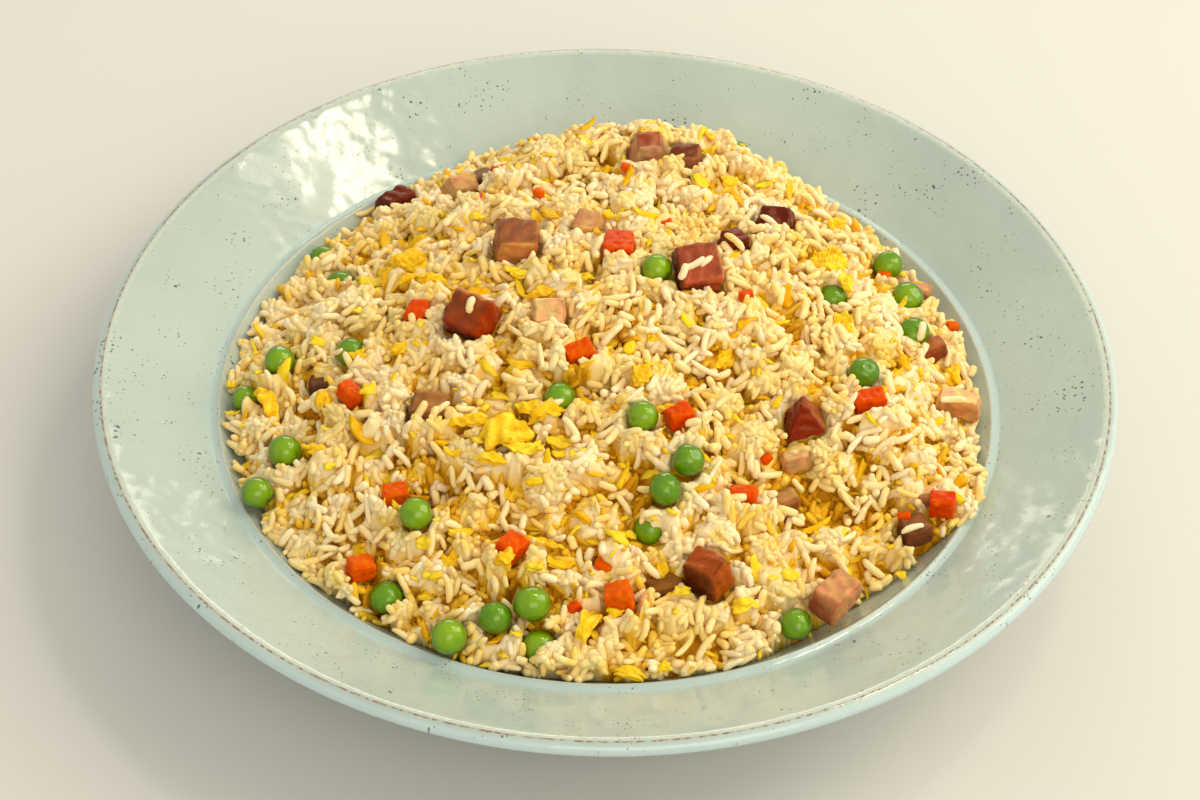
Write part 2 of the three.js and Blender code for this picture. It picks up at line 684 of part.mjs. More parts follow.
function heap(meshes) {
  const topRings = latticeRings();
  const surface = topRings.flat();
  layGrains(topRings.slice(0, -1).flat());
  const bottomRings = undersideRings();
  const centre = { x: 0, y: 0, z: plateTop(0) + UNDERSIDE_GAP, angle: 0 };
  const points = [...surface, ...bottomRings.flat(), centre];
  points.forEach((point, index) => {
    point.index = index;
  });
  const top = [];
  for (let ring = 0; ring < HEAP_RINGS; ring += 1) {
    stitch(topRings[ring], topRings[ring + 1], top);
  }
  pressUnder(meshes, points, top);
  const bottom = [];
  stitch([centre], bottomRings[0], bottom);
  for (let ring = 0; ring + 1 < bottomRings.length; ring += 1) {
    stitch(bottomRings[ring], bottomRings[ring + 1], bottom);
  }
  stitch(bottomRings[bottomRings.length - 1], topRings[HEAP_RINGS], bottom);
  const triangles = [...top, ...bottom.map(([a, b, c]) => [a, c, b])];
  const grains = meshGeometry(points.map(({ x, y, z }) => [x, y, z]), triangles);
  let solid = toManifold(grains);
  for (const flake of eggFlakes(meshes, surface)) {
    solid = solid.add(toManifold(flake));
  }
  const [whole] = solid.decompose().sort((a, b) => b.volume() - a.volume());
  return piece('fried_rice', fromManifold(whole), COLOURS.rice, 0.6);
}

// ---------------------------------------------------------------- the whole plate
const friedRicePlate = new THREE.Group();
const pieces = piecesInRice();
friedRicePlate.add(plate(), heap(pieces), ...pieces);

export default friedRicePlate;
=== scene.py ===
# A wide-rimmed stoneware plate heaped with fried rice: a glazed plate, thousands of cooked grains
# laid on a core, and peas, diced carrot, diced roast pork and scrambled egg in and on the rice.
# Sizes in the tables are millimetres; every mesh is in metres, in the frame of the CAD model.
import math

import bmesh
import bpy
import numpy as np
from mathutils import Matrix, Vector
from mathutils.bvhtree import BVHTree


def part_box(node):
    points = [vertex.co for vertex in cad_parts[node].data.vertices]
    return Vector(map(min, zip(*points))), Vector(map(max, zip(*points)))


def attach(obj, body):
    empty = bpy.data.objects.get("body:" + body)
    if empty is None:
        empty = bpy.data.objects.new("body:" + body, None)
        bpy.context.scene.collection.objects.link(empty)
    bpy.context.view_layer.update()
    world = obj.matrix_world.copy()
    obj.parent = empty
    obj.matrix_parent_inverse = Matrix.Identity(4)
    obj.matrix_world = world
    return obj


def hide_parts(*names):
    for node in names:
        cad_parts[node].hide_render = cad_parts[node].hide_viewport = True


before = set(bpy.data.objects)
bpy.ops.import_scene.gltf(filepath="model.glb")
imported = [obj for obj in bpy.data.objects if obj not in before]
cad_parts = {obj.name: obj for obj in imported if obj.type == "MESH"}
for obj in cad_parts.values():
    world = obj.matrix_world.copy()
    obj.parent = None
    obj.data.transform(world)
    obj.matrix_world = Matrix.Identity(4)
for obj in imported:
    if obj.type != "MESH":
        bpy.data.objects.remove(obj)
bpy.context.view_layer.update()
MM = 0.001

# ---------------------------------------------------------------- sizes of the plate
FLOOR_RADIUS = 60.0
FLOOR_HEIGHT = 8.0
WELL_RADIUS = 106.6
WELL_EDGE_HEIGHT = 28.2
WELL_WALL_POWER = 2.5
RIDGE_HALF_WIDTH = 0.9
RIDGE_RISE = 0.35
GROOVE_RADIUS = 109.0
GROOVE_HEIGHT = 27.9
LIP_CENTRE = (137.2, 39.9)
LIP_REACH = 2.8
LIP_RISE = 2.3
LIP_DROP = 2.15
LIP_INNER_ANGLE = 122  # where the lip's round meets the slope of the rim
WALL_THICKNESS = 4.4
FOOT_OUTER_RADIUS = 76.0
FOOT_INNER_RADIUS = 69.0
FOOT_CHAMFER = 1.2
BASE_RECESS = 2.6
PLATE_SEGMENTS = 288

# ---------------------------------------------------------------- sizes of the food
RANDOM_SEED = 20
TOPPING_COUNTS = {"pea": 22, "carrot": 14, "pork": 18, "egg": 4}  # the CAD model's nodes
HEAP_TOP = 65.9
CORE_DEPTH = 4.8  # from the rice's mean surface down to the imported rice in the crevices
CORE_INSET = 2.2
CORE_CELLS = 312
FUSED_DEPTHS = (1.0, 0.3)  # how far inside the clumps the layers of fused grains lie
CLUMP_COUNT = 1000
CORE_BELOW_CLUMP = 1.0  # how far the fused rice lies under the loose grains of a clump
CLUMP_RADII = (3.6, 10.0)
CLUMP_SHARE_OF_GAP = 0.76  # two clumps may touch this closely, as a share of their radii
CLUMP_HEIGHT = 0.8
CREVICE_SHARE = 0.45  # how far the small gaps between stuck grains are painted golden and darker: painted shade
STEEPEST = 1.5  # slope of a clump's side
CLUMP_RISE = (-4.0, 3.0)
GRAINS_PER_AREA = 0.86
SWELLS = ((1.1, 26.0), (0.9, 13.0))  # height and length of the rice's billows
BLOCK_MARGIN = 0.4  # how deep a grain may sink into a scrap
STAND_OUT = 4.4  # how far a grain may stand out of the rice's mean surface
GRAIN_KINDS = [  # length, width, bend, bluntness, share
    ("rice_long", 7.4, 2.0, 0.6, 0.24, 0.18),
    ("rice_slim", 6.5, 1.85, -0.5, 0.2, 0.18),
    ("rice_plump", 5.7, 2.25, 0.2, 0.3, 0.18),
    ("rice_bent", 6.6, 2.0, 1.1, 0.24, 0.17),
    ("rice_short", 4.9, 2.15, 0.3, 0.32, 0.16),
    ("rice_broken", 3.7, 2.05, 0.1, 0.4, 0.13),
]
STANDING_SHARE = 0.42
STANDING_ANGLES = (0.3, 1.25)  # radians out of the clump's skin
FUSED_SHARE = 0.7
LOOSE_SHARE = 1.85  # of the clumps' grains that stand clear of the fused ones
SIDE_COUNT = 2500
FILL_LIMIT = 500
LOOSE_COUNT = 420

EGG_DRIFTS = ((1.0, 34.0), (0.7, 15.0))  # scraps of egg lie in drifts: height and length of their waves
EGG_DRIFT_EDGE = -0.25  # higher makes the drifts narrower
SHRED_COUNT = 500
CRUMB_COUNT = 1000
SHRED_LENGTHS, CRUMB_LENGTHS = (3.0, 7.0), (1.4, 3.0)
HOLLOWS = [  # x, y, radius and depth of the deepest gaps between the clumps
    (-45, -50, 6.5, 6.0), (-80, -8, 5, 5), (10, -57, 4, 4), (-50, -22, 4, 4), (17, -39, 3.5, 4),
    (36, 37, 5, 4), (-12, -83, 4.5, 4), (-8, -22.5, 4, 4.5), (-80, -28, 3.5, 3.5), (-28, -68, 3.5, 3),
    (-53, -79, 4, 3.5), (-58, -67.5, 3.5, 3.5), (-22, -78, 3, 3), (48, -50, 4, 3.5), (15, -78, 6, 3.5),
    (-24, 25, 3.5, 3), (1, -77, 3.5, 3.5), (22, 13, 4, 3.5), (54, -32, 4, 3), (86, -55, 5, 4),
    (-61, -77, 4, 4), (-22, -87, 3.5, 4), (55, -81, 3.5, 3.5), (-16, -94, 3, 3), (-96, -32, 4, 3.5),
    (-100, -2, 3.5, 3), (3, -101, 3, 3), (-94, 40, 4, 4), (-78, -20, 4, 4), (-34, -94, 3, 3),
    (-39, -58, 3.5, 3.5), (-87, -46, 3.5, 3), (-85, 13, 5, 3), (-84, 46, 4, 3), (-56, 27, 4, 3),
    (-67, -21, 4, 3.5), (-38, -35, 4, 3), (-70, 52, 4, 2.5),
]
COVERED = {  # how much of a piece the rice in front of it hides, where that isn't the usual share
    "pea_01": 0.72, "pea_02": 0.55, "pea_04": 0.5, "pea_08": 0.68, "pea_12": 0.62, "pea_22": 0.6,
    "pea_13": 0.3, "pea_20": 0.3, "pork_18": 0.62, "pork_16": 0.55, "pork_02": 0.5, "pork_04": 0.45,
    "pork_05": 0.4, "pork_01": 0.25, "pork_17": 0.3, "pork_07": 0.3, "pork_03": 0.1, "pork_08": 0.1,
    "pork_06": 0.15, "pork_13": 0.1, "pork_15": 0.08, "egg_01": 0.12,
}
BANKS = [  # turn about the plate, reach, rise above the plate and radius of the banked-up edge
    (173, 98, 9, 4.8), (167, 97, 10, 5.2), (161, 98, 9, 5.0), (155, 97, 10, 5.4), (149, 97, 9, 5.0),
    (143, 98, 9, 4.8), (137, 98, 8, 4.6), (164, 91, 12, 5.0), (152, 90, 12, 5.2),
]
USUALLY_COVERED = {"pea": 0.14, "car": 0.62, "por": 0.27, "egg": 0.2}
SUNKEN_PEAS = [  # x, y, diameter, drop of its centre below the rice
    (-70, 1, 8.6, 3.0), (12, -62, 8.8, 5.2), (63, 26, 8.6, 4.0), (82, 30, 8.6, 3.2), (37, 88, 8.4, 3.8),
]
CARROT_SCRAPS = [  # x, y, rise above the rice, size, heading
    (12, -59, 0.4, (5.5, 3, 2.5), 8), (1, -74, 0.2, (7, 4, 3), -20), (-7, -86, 0.2, (4, 3, 3), 30),
    (80, -49, 0.0, (4, 3, 3), 0), (98, 30, 0.5, (4, 3, 3), 20), (79, 46, -1.4, (4, 3, 3), -30),
    (5, 68, 0.4, (4, 2.5, 2.5), 10), (-33, 80, 0.4, (4, 3, 3), -15), (-45, 72, 0.2, (5, 3, 3), 25),
    (38, 11, 0.2, (4.5, 3, 3), 15), (16, 42, -0.5, (4, 3, 2.5), -10), (43, -40, 0.0, (3.5, 2.5, 2.5), 40),
    (-20, 59, 0.2, (3.5, 2.5, 2.5), -40), (-49, -52, 0.3, (5, 2.5, 2.5), -20),
]
TOP_GRAINS = [  # piece, across, up, turn as seen from the front and kind of grains lying on it
    ("pork_03", -1.2, 1.0, 28, 0), ("pork_03", 1.6, 2.2, 46, 1), ("pork_03", -3.8, -1.2, 70, 4),
    ("pork_08", -0.6, 3.0, 75, 4), ("carrot_01", -2.4, -3.2, -60, 1), ("pea_20", 1.8, 0.4, 80, 2),
    ("pea_20", -1.0, -2.4, -25, 0), ("pork_13", -1.5, 1.2, 2, 0), ("pork_05", -1.5, 0.5, -35, 1),
    ("pork_04", 0.5, 1.0, -40, 0), ("pork_04", -1.5, -1.5, -50, 2), ("carrot_09", -1.8, -0.5, 5, 2),
    ("pork_18", -2.0, 0.5, 60, 2), ("pork_18", 1.5, -0.5, 75, 4), ("pork_18", 3.0, 1.0, 40, 1),
    ("pork_16", -1.5, 1.2, 20, 1), ("carrot_02", -1.0, -2.0, -70, 4), ("pea_13", -1.8, -1.5, 15, 1),
]
PORK_SCRAPS = [  # x, y, rise, size, heading, gloss of the four sides, colours on top and in front; the darker front colour, also used at the sides, is painted shade
    (-37, 80, 0.2, (7, 5, 4), 20, (0.3,) * 4, "#8D734E", "#72593B"),
    (16, -77, -2.0, (11, 7, 5), 10, (0.5,) * 4, "#9D6925", "#7D4913"),
    (85, -41, -2.0, (7, 5, 5), -20, (0.3,) * 4, "#E2AE70", "#C4894E"),
    (91, 15, -1.6, (8, 6, 5), 30, (0.4,) * 4, "#AC5F2C", "#8F431B"),
    (-92, 45, -2.2, (8, 5, 5), 40, (0.3,) * 4, "#C4975A", "#AC7742"),
    (-77, -5, -2.8, (9, 6, 5), 0, (0.3,) * 4, "#7D4F35", "#5C3722"),
    (51, -37, -2.3, (8, 6, 5), 15, (0.2,) * 4, "#E5B673", "#CC9754"),
    (48, -47, -2.6, (8, 6, 5), 25, (0.3,) * 4, "#C48F4E", "#A46B32"),
]
PORK_LOOKS = [  # fibre heading, gloss and colour of the top, front, right and left faces: crust or cut flesh, with painted light and shade for the way each face looks
    (10, (0.7, 0.3, 0.3, 0.3), "#A33F1D", "#CF9F6C", "#B27247", "#BA8455"),
    (0, (0.7, 0.3, 0.3, 0.3), "#712E14", "#AC6F42", "#985C34", "#AC7949"),
    (80, (0.5, 0.55, 0.3, 0.4), "#9A5F3A", "#BF5732", "#CB8A48", "#7E3E22"),
    (30, (0.9, 0.9, 0.8, 0.8), "#6E1C0B", "#83240D", "#5D180A", "#742010"),
    (0, (0.9, 0.8, 0.8, 0.8), "#631809", "#7E230C", "#691C08", "#531306"),
    (90, (0.4, 0.2, 0.3, 0.3), "#93542C", "#D6934B", "#AE6A34", "#9F5F30"),
    (90, (0.3, 0.2, 0.2, 0.2), "#CB9457", "#EABA6A", "#CF9C57", "#D4A05A"),
    (20, (0.5, 0.9, 0.9, 0.9), "#CB823E", "#952C03", "#A73403", "#842503"),
    (0, (0.2, 0.2, 0.2, 0.2), "#F3C981", "#EEBE75", "#DBA462", "#E8B873"),
    (40, (0.8, 0.8, 0.7, 0.8), "#6B1F13", "#5B1A10", "#812D18", "#621C12"),
    (20, (0.3, 0.3, 0.3, 0.3), "#D8AA62", "#C39555", "#B28448", "#CF9F5B"),
    (60, (0.6, 0.7, 0.3, 0.9), "#953918", "#90240A", "#A65B2C", "#751103"),
    (0, (0.4, 0.3, 0.3, 0.3), "#EDC27B", "#CF8F4C", "#E0AB67", "#E9B974"),
    (30, (0.7, 0.8, 0.9, 0.7), "#A94D13", "#78340A", "#AB4E0B", "#6C2C08"),
    (55, (0.3, 0.4, 0.3, 0.5), "#D09557", "#CA824B", "#CA884D", "#AA572F"),
    (0, (0.4, 0.4, 0.4, 0.4), "#8E562D", "#743C1C", "#814A24", "#703B19"),
    (0, (0.3, 0.3, 0.3, 0.3), "#DFA668", "#C78B53", "#BE7F4A", "#CF9764"),
    (10, (0.5, 0.5, 0.5, 0.5), "#A66F32", "#854F1D", "#915B23", "#784719"),
]
FACE_SHARPNESS = 9  # how sharply one face's colour gives way to the next
RIM_DARKENING, FLESH_BLUSH, PORK_TINT = (0.6, 0.95, 0.95), (0.0, 0.26, 0.1), (0.9, 1.02, 1.14)
PORK_TOP = HEAP_TOP + 0.2
EGG_LOOKS = [(0.75, 4.6, 0.1), (0.4, 3.2, 0.32), (0.3, 3.0, 0.1), (0.35, 3.4, 0.12)]  # fold, width, pores
EGG_BITS = [  # x, y, width and height as seen, of the larger scraps of egg
    (-43.4, -37.7, 3.8, 2.2), (-32.1, -40.3, 6.0, 1.9), (-39.7, -44, 3.3, 2.2), (-103.4, 1.3, 2.2, 2.2),
    (-76.5, -17.2, 3.3, 5.5), (-63.9, -20.4, 3.8, 3.3), (-77.8, -34.4, 4.9, 2.7), (66.2, 28.4, 3.3, 6.0),
    (65.3, 7.5, 3.8, 6.8), (-55.6, 35.2, 7.7, 7.1), (-54.9, 24.8, 7.1, 2.5), (-48.3, 21.2, 7.7, 2.5),
    (-35.9, 16.5, 7.7, 3.3), (-24.2, 20.1, 5.5, 2.7), (-17.3, 10.7, 7.1, 3.3), (-28.4, -24.6, 4.4, 2.7),
    (-23.3, -51.5, 3.8, 4.9), (-18, -55, 3.3, 2.2), (-5.7, -26.9, 5.5, 2.2), (-15, -29.4, 4.9, 2.7),
    (-37, -64.8, 5.5, 2.2), (-39.4, -70.9, 3.8, 4.4), (-46.9, -67.7, 3.3, 3.8), (-16.3, -68.5, 9.3, 2.7),
    (-11.3, -73.6, 5.5, 1.6), (-24.9, -76.3, 3.8, 5.5), (-17.4, -77.5, 4.4, 2.7), (-43.1, -76.6, 4.9, 2.7),
    (5.9, -65.2, 3.8, 2.7), (15.4, -73.3, 3.3, 4.4), (20.6, -82.2, 3.8, 2.2), (58.8, -66.4, 4.9, 2.7),
    (79.1, -61.7, 2.7, 2.2), (48.8, -74, 3.3, 2.7), (3.5, -89.1, 4.4, 2.2), (7.3, -101.9, 7.1, 2.7),
    (16.5, -100.3, 3.3, 2.2), (36.8, -83.3, 5.5, 3.8), (40.7, -85.5, 3.8, 2.7), (86.8, 48.1, 9.3, 1.6),
    (97, 9.7, 3.3, 6.0), (66.1, 62.9, 4.4, 3.8), (-30.1, 89.5, 3.8, 3.8), (-32.7, 72.4, 4.4, 3.3),
    (-18.8, 70.7, 3.8, 3.8), (-37.2, 48.8, 3.3, 2.2), (-36.4, 43.4, 3.3, 2.2), (4.7, 87.7, 2.7, 1.6),
    (-0.7, 71.4, 2.7, 3.3), (28.2, 79.2, 3.8, 2.7), (34.2, 67.2, 3.3, 4.4), (34.1, 61.4, 2.7, 2.7),
    (-0.4, 45.1, 2.7, 2.7), (15.6, 37.6, 2.7, 3.3), (13.1, -7.6, 3.3, 2.2), (33.6, 26.3, 3.3, 2.7),
    (31.7, -9.6, 3.8, 6.0), (-67.5, -3.3, 3.8, 2.2), (-56.4, -4.7, 3.3, 4.4), (9.1, -22.1, 3.8, 7.1),
    (15.6, -28.7, 3.8, 2.7), (-56, 34, 6.0, 4.0), (-36, -34, 8, 4), (-15, -33, 8, 4.5),
    (-21, -44, 9, 4), (-12, -40, 6, 4), (-30, -47, 7, 3.5), (-20, -30, 6, 3.5),
]

# ---------------------------------------------------------------- colours, sRGB
GLAZE = {"light": "#B6C3BE", "deep": "#ACBAB6", "edge": "#B0C4C4", "speck": "#3E3A34",
         "lip": "#BFD3D6", "bare clay": "#C4B091"}
# the glaze's marks are in metres from the plate's axis or above its foot, as the shader reads them
GLAZE_BLUE_BAND = (0.1072, 0.1075, 0.1125)  # where the bluer band begins, where it is strongest, and where it ends
THIN_GLAZE = (0.1382, 0.1396)
BARE_FOOT = (0.0003, 0.0009)
LOWEST_LINE = 0.0270
GLAZE_LINES = [  # radius, half width, colour, strength
    (0.1368, 0.0011, "#DAD8C8", 0.4),
    (0.1377, 0.0004, "#8A6454", 0.9),
    (0.1066, 0.0006, "#B8AC9C", 0.6),
]
FRECKLES = [  # cells in a metre, rarity, reach
    (230.0, 0.37, 0.42),
    (420.0, 0.33, 0.5),
    (620.0, 0.33, 0.6),
]
# gold and deep are painted shade, for the crevices and the deepest hollows
RICE = {"pearl": "#FDE9C6", "ivory": "#FCE1AF", "cream": "#FADA9A", "gold": "#F9CC38", "deep": "#CC8E0A",
        "stain": "#F6C21C", "oil": "#F0CC66", "gleam": "#FFE6B0"}
# crease and rim are painted shade, in the dents and where the skin turns away as seen
PEA = {"dark": "#548600", "bright": "#84AA00", "pale": "#A6C414", "crease": "#3A7404", "rim": "#1F5400",
       "gleam": "#FFFF8C"}
CARROT = {"deep": "#C83200", "middle": "#D44800", "bright": "#DE6400", "fibre": "#F68408",
          "gleam": "#FFC060"}
EGG = {"bright": "#FCDA34", "middle": "#F6C416", "deep": "#EAA604", "foam": "#FDE264", "gleam": "#FFE690"}
PORK_GLEAM = "#FFD8A0"
STAGE_COLOUR, SKY_COLOUR, SKY_STRENGTH = "#D6D4D3", "#F5F4E6", 0.7

# ---------------------------------------------------------------- camera and lights
CAMERA_PLACE = (-1.436, -682.93, 677.02)
CAMERA_ELEVATION, CAMERA_ROLL = 43.604, 1.069  # degrees
CAMERA_LENS = 102.0
FLOOR_REACH = 3.0
LIGHTS = [  # name, place and target in metres, size, power and colour
    ("key softbox", (0.42, 0.30, 1.12), (0, 0.02, 0.03), (0.19, 0.12), 1.4, "#FFF3D2"),
    ("wide softbox", (0.85, 0.1, 1.15), (0, 0, 0.03), (0.9, 0.7), 5.7, "#FFF3D6"),
    ("back softbox", (0.0, 1.35, 0.6), (0, 0, 0.03), (0.8, 0.4), 3.8, "#FFF6DC"),
    ("front fill", (0.42, -1.5, 1.2), (0, 0, 0.03), (1.4, 1.0), 11.0, "#FFF8E0"),
    ("side softbox", (1.25, 0.35, 0.75), (0, 0, 0.03), (0.9, 0.7), 7.0, "#FFF7E0"),
]

# ---------------------------------------------------------------- kinds of node used again and again
MATH, VECTOR, MIX, SPAN = "ShaderNodeMath", "ShaderNodeVectorMath", "ShaderNodeMix", "ShaderNodeMapRange"
NOISE, BUMP, RAMP = "ShaderNodeTexNoise", "ShaderNodeBump", "ShaderNodeValToRGB"
SHARE = "ShaderNodeAttribute"


# ---------------------------------------------------------------- small tools
def linear(colour):
    """sRGB hex to linear RGBA."""
    channels = [int(colour[i:i + 2], 16) / 255 for i in (1, 3, 5)]
    light = [c / 12.92 if c <= 0.04045 else ((c + 0.055) / 1.055) ** 2.4 for c in channels]
    return (*light, 1.0)


def fill(tree, node, inputs):
    """Sets each input of a node, or links it where it is given another node's output."""
    for key, value in inputs.items():
        if isinstance(value, bpy.types.NodeSocket):
            tree.links.new(value, node.inputs[key])
        else:
            node.inputs[key].default_value = value


def put(tree, kind, inputs=None, stops=(), out=None, **settings):
    """Adds one node and returns its first output in use, or the one that is named."""
    node = tree.nodes.new(kind)
    for name, value in settings.items():
        setattr(node, name, value)
    fill(tree, node, inputs or {})
    for index, (place, colour) in enumerate(stops):
        ramp = node.color_ramp.elements
        stop = ramp[index] if index < 2 else ramp.new(place)
        stop.position = place
        stop.color = linear(colour)
    return node.outputs[out] if out else next((each for each in node.outputs if each.enabled), None)


def new_material(name):
    """An empty node material, its tree and its Principled shader."""
    made = bpy.data.materials.new(name)
    made.use_nodes = True
    return made, made.node_tree, made.node_tree.nodes["Principled BSDF"]


def in_scene(name, data=None):
    """A new object of the scene, at the origin."""
    made = bpy.data.objects.new(name, data)
    bpy.context.scene.collection.objects.link(made)
    return made


def float_layer(mesh, label, values, kind="FLOAT", field="value"):
    """Gives every point of a mesh a value of its own."""
    layer = mesh.attributes.new(label, kind, "POINT")
    layer.data.foreach_set(field, np.asarray(values, np.float32).ravel())


def mesh_piece(name, points, faces, material, shares=None, colours=None):
    """A smooth mesh from points in mm, with float and colour attributes, riding on the plate."""
    mesh = bpy.data.meshes.new(name)
    points = np.asarray(points, np.float64) * MM
    faces = np.asarray(faces, np.int32)
    mesh.vertices.add(len(points))
    mesh.vertices.foreach_set("co", points.astype(np.float32).ravel())
    corners = faces.shape[1]
    mesh.loops.add(faces.size)
    mesh.loops.foreach_set("vertex_index", faces.ravel())
    mesh.polygons.add(len(faces))
    mesh.polygons.foreach_set("loop_start", np.arange(len(faces), dtype=np.int32) * corners)
    mesh.update(calc_edges=True)
    mesh.validate()
    for label, values in (shares or {}).items():
        float_layer(mesh, label, values)
    for label, values in (colours or {}).items():
        float_layer(mesh, label, values, "FLOAT_COLOR", "color")
    mesh.polygons.foreach_set("use_smooth", np.ones(len(mesh.polygons), bool))
    mesh.materials.append(material)
    return carried(in_scene(name, mesh))


def carried(piece):
    """Lets a piece ride on the plate's body."""
    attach(piece, "root")
    return piece


def arrays_of(mesh):
    """Points in mm and triangle corners of a mesh."""
    points = np.empty(len(mesh.vertices) * 3, np.float32)
    mesh.vertices.foreach_get("co", points)
    mesh.calc_loop_triangles()
    corners = np.empty(len(mesh.loop_triangles) * 3, np.int32)
    mesh.loop_triangles.foreach_get("vertices", corners)
    return points.reshape(-1, 3) / MM, corners.reshape(-1, 3)


def ray_tree(node):
    points, corners = arrays_of(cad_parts[node].data)
    return BVHTree.FromPolygons(points.tolist(), corners.tolist())


def ripple(points, rng, wavelength, waves=7):
    """Smooth random relief between about -1 and 1, with bumps of one size."""
    total = np.zeros(len(points))
    for _ in range(waves):
        direction = rng.normal(size=3)
        direction *= 2 * math.pi / wavelength * rng.uniform(0.7, 1.4) / np.linalg.norm(direction)
        total += np.sin(points @ direction + rng.uniform(0, 2 * math.pi))
    return total / math.sqrt(waves) * 0.8


def unit_ball(level):
    """Points and triangles of a ball of radius 1."""
    ball = bmesh.new()
    bmesh.ops.create_icosphere(ball, subdivisions=level, radius=1.0)
    ball.verts.index_update()
    points = np.array([v.co[:] for v in ball.verts])
    faces = np.array([[v.index for v in f.verts] for f in ball.faces])
    ball.free()
    return points, faces


def turned(points, heading, lean=0.0, roll=0.0):
    """Rolls about X, leans about Y and then heads about Z, in degrees."""
    turn = Matrix.Rotation(math.radians(heading), 3, "Z")
    turn = turn @ Matrix.Rotation(math.radians(-lean), 3, "Y")
    turn = turn @ Matrix.Rotation(math.radians(roll), 3, "X")
    return points @ np.array(turn).T


class Heap:
    """Gathers the meshes of one kind of piece and joins them."""

    def __init__(self):
        self.points, self.faces, self.shares, self.colours, self.count = [], [], {}, {}, 0

    def add(self, points, faces, shares=None, colours=None):
        self.points.append(points)
        self.faces.append(np.asarray(faces) + self.count)
        self.count += len(points)
        for label, value in (shares or {}).items():
            values = np.broadcast_to(np.asarray(value, float), (len(points),))
            self.shares.setdefault(label, []).append(values)
        for label, value in (colours or {}).items():
            values = np.broadcast_to(np.asarray(value, float), (len(points), 4))
            self.colours.setdefault(label, []).append(values)

    def piece(self, name, material, slot):
        shares = {label: np.concatenate(parts) for label, parts in self.shares.items()}
        colours = {label: np.concatenate(parts) for label, parts in self.colours.items()}
        points, faces = np.concatenate(self.points), np.concatenate(self.faces)
        return mesh_piece(name, points, faces, material, shares, colours)


# ---------------------------------------------------------------- camera, floor and light
def make_camera():
    """A long lens above the diner's side, turned a little about its own axis."""
    lens = bpy.data.cameras.new("camera")
    lens.lens = CAMERA_LENS
    lens.sensor_width = 36.0
    lens.clip_start, lens.clip_end = 0.05, 20.0
    camera = in_scene("camera", lens)
    elevation, roll = math.radians(CAMERA_ELEVATION), math.radians(CAMERA_ROLL)
    forward = Vector((0, math.cos(elevation), -math.sin(elevation)))
    level_up = Vector((0, math.sin(elevation), math.cos(elevation)))
    right = Vector((1, 0, 0)) * math.cos(roll) + level_up * math.sin(roll)
    up = level_up * math.cos(roll) - Vector((1, 0, 0)) * math.sin(roll)
    turn = Matrix((right, up, -forward)).transposed()
    camera.location = Vector(CAMERA_PLACE) * MM
    camera.rotation_mode = "QUATERNION"
    camera.rotation_quaternion = turn.to_quaternion()
    bpy.context.scene.camera = camera


def make_light(name, place, target, size, power, colour):
    """A rectangular softbox."""
    lamp = bpy.data.lights.new(name, "AREA")
    lamp.shape = "RECTANGLE"
    lamp.size, lamp.size_y = size
    lamp.energy = power
    lamp.color = linear(colour)[:3]
    light = in_scene(name, lamp)
    light.location = place
    light.rotation_mode = "QUATERNION"
    forward = (Vector(target) - Vector(place)).normalized()
    light.rotation_quaternion = forward.to_track_quat("-Z", "Y")


def make_stage():
    """A pale matte floor, a high softbox at the right, a wide one behind and a soft sky."""
    bpy.context.scene.view_settings.view_transform = "Standard"
    material, tree, shader = new_material("matte studio card")
    fill(tree, shader, {"Base Color": linear(STAGE_COLOUR), "Roughness": 0.9})
    mesh = bpy.data.meshes.new("floor")
    corners = [(-1, -1), (1, -1), (1, 1), (-1, 1)]
    mesh.from_pydata([(x * FLOOR_REACH, y * FLOOR_REACH, 0) for x, y in corners], [], [(0, 1, 2, 3)])
    mesh.materials.append(material)
    in_scene("floor", mesh)
    for light in LIGHTS:
        make_light(*light)
    world = bpy.data.worlds.new("soft sky")
    world.use_nodes = True
    fill(world.node_tree, world.node_tree.nodes["Background"],
         {"Color": linear(SKY_COLOUR), "Strength": SKY_STRENGTH})
    bpy.context.scene.world = world


# ---------------------------------------------------------------- plate
def plate_top(radius):
    """Height of the plate's upper surface, in mm, at distances from its axis."""
    radius = np.asarray(radius, float)
    along = np.clip((radius - FLOOR_RADIUS) / (WELL_RADIUS - FLOOR_RADIUS), 0, 1)
    wall = FLOOR_HEIGHT + (WELL_EDGE_HEIGHT - FLOOR_HEIGHT) * along ** WELL_WALL_POWER
    angle = math.radians(LIP_INNER_ANGLE)
    inner = LIP_CENTRE[0] + LIP_REACH * math.cos(angle)
    high = LIP_CENTRE[1] + LIP_RISE * math.sin(angle)
    rim = np.interp(radius, [WELL_RADIUS, GROOVE_RADIUS, inner], [WELL_EDGE_HEIGHT, GROOVE_HEIGHT, high])
    return np.where(radius < WELL_RADIUS, wall, rim)


def ridge(radius):
    """The thin raised line between the well and the rim."""
    return RIDGE_RISE * np.exp(-(((radius - WELL_RADIUS) / RIDGE_HALF_WIDTH) ** 2))


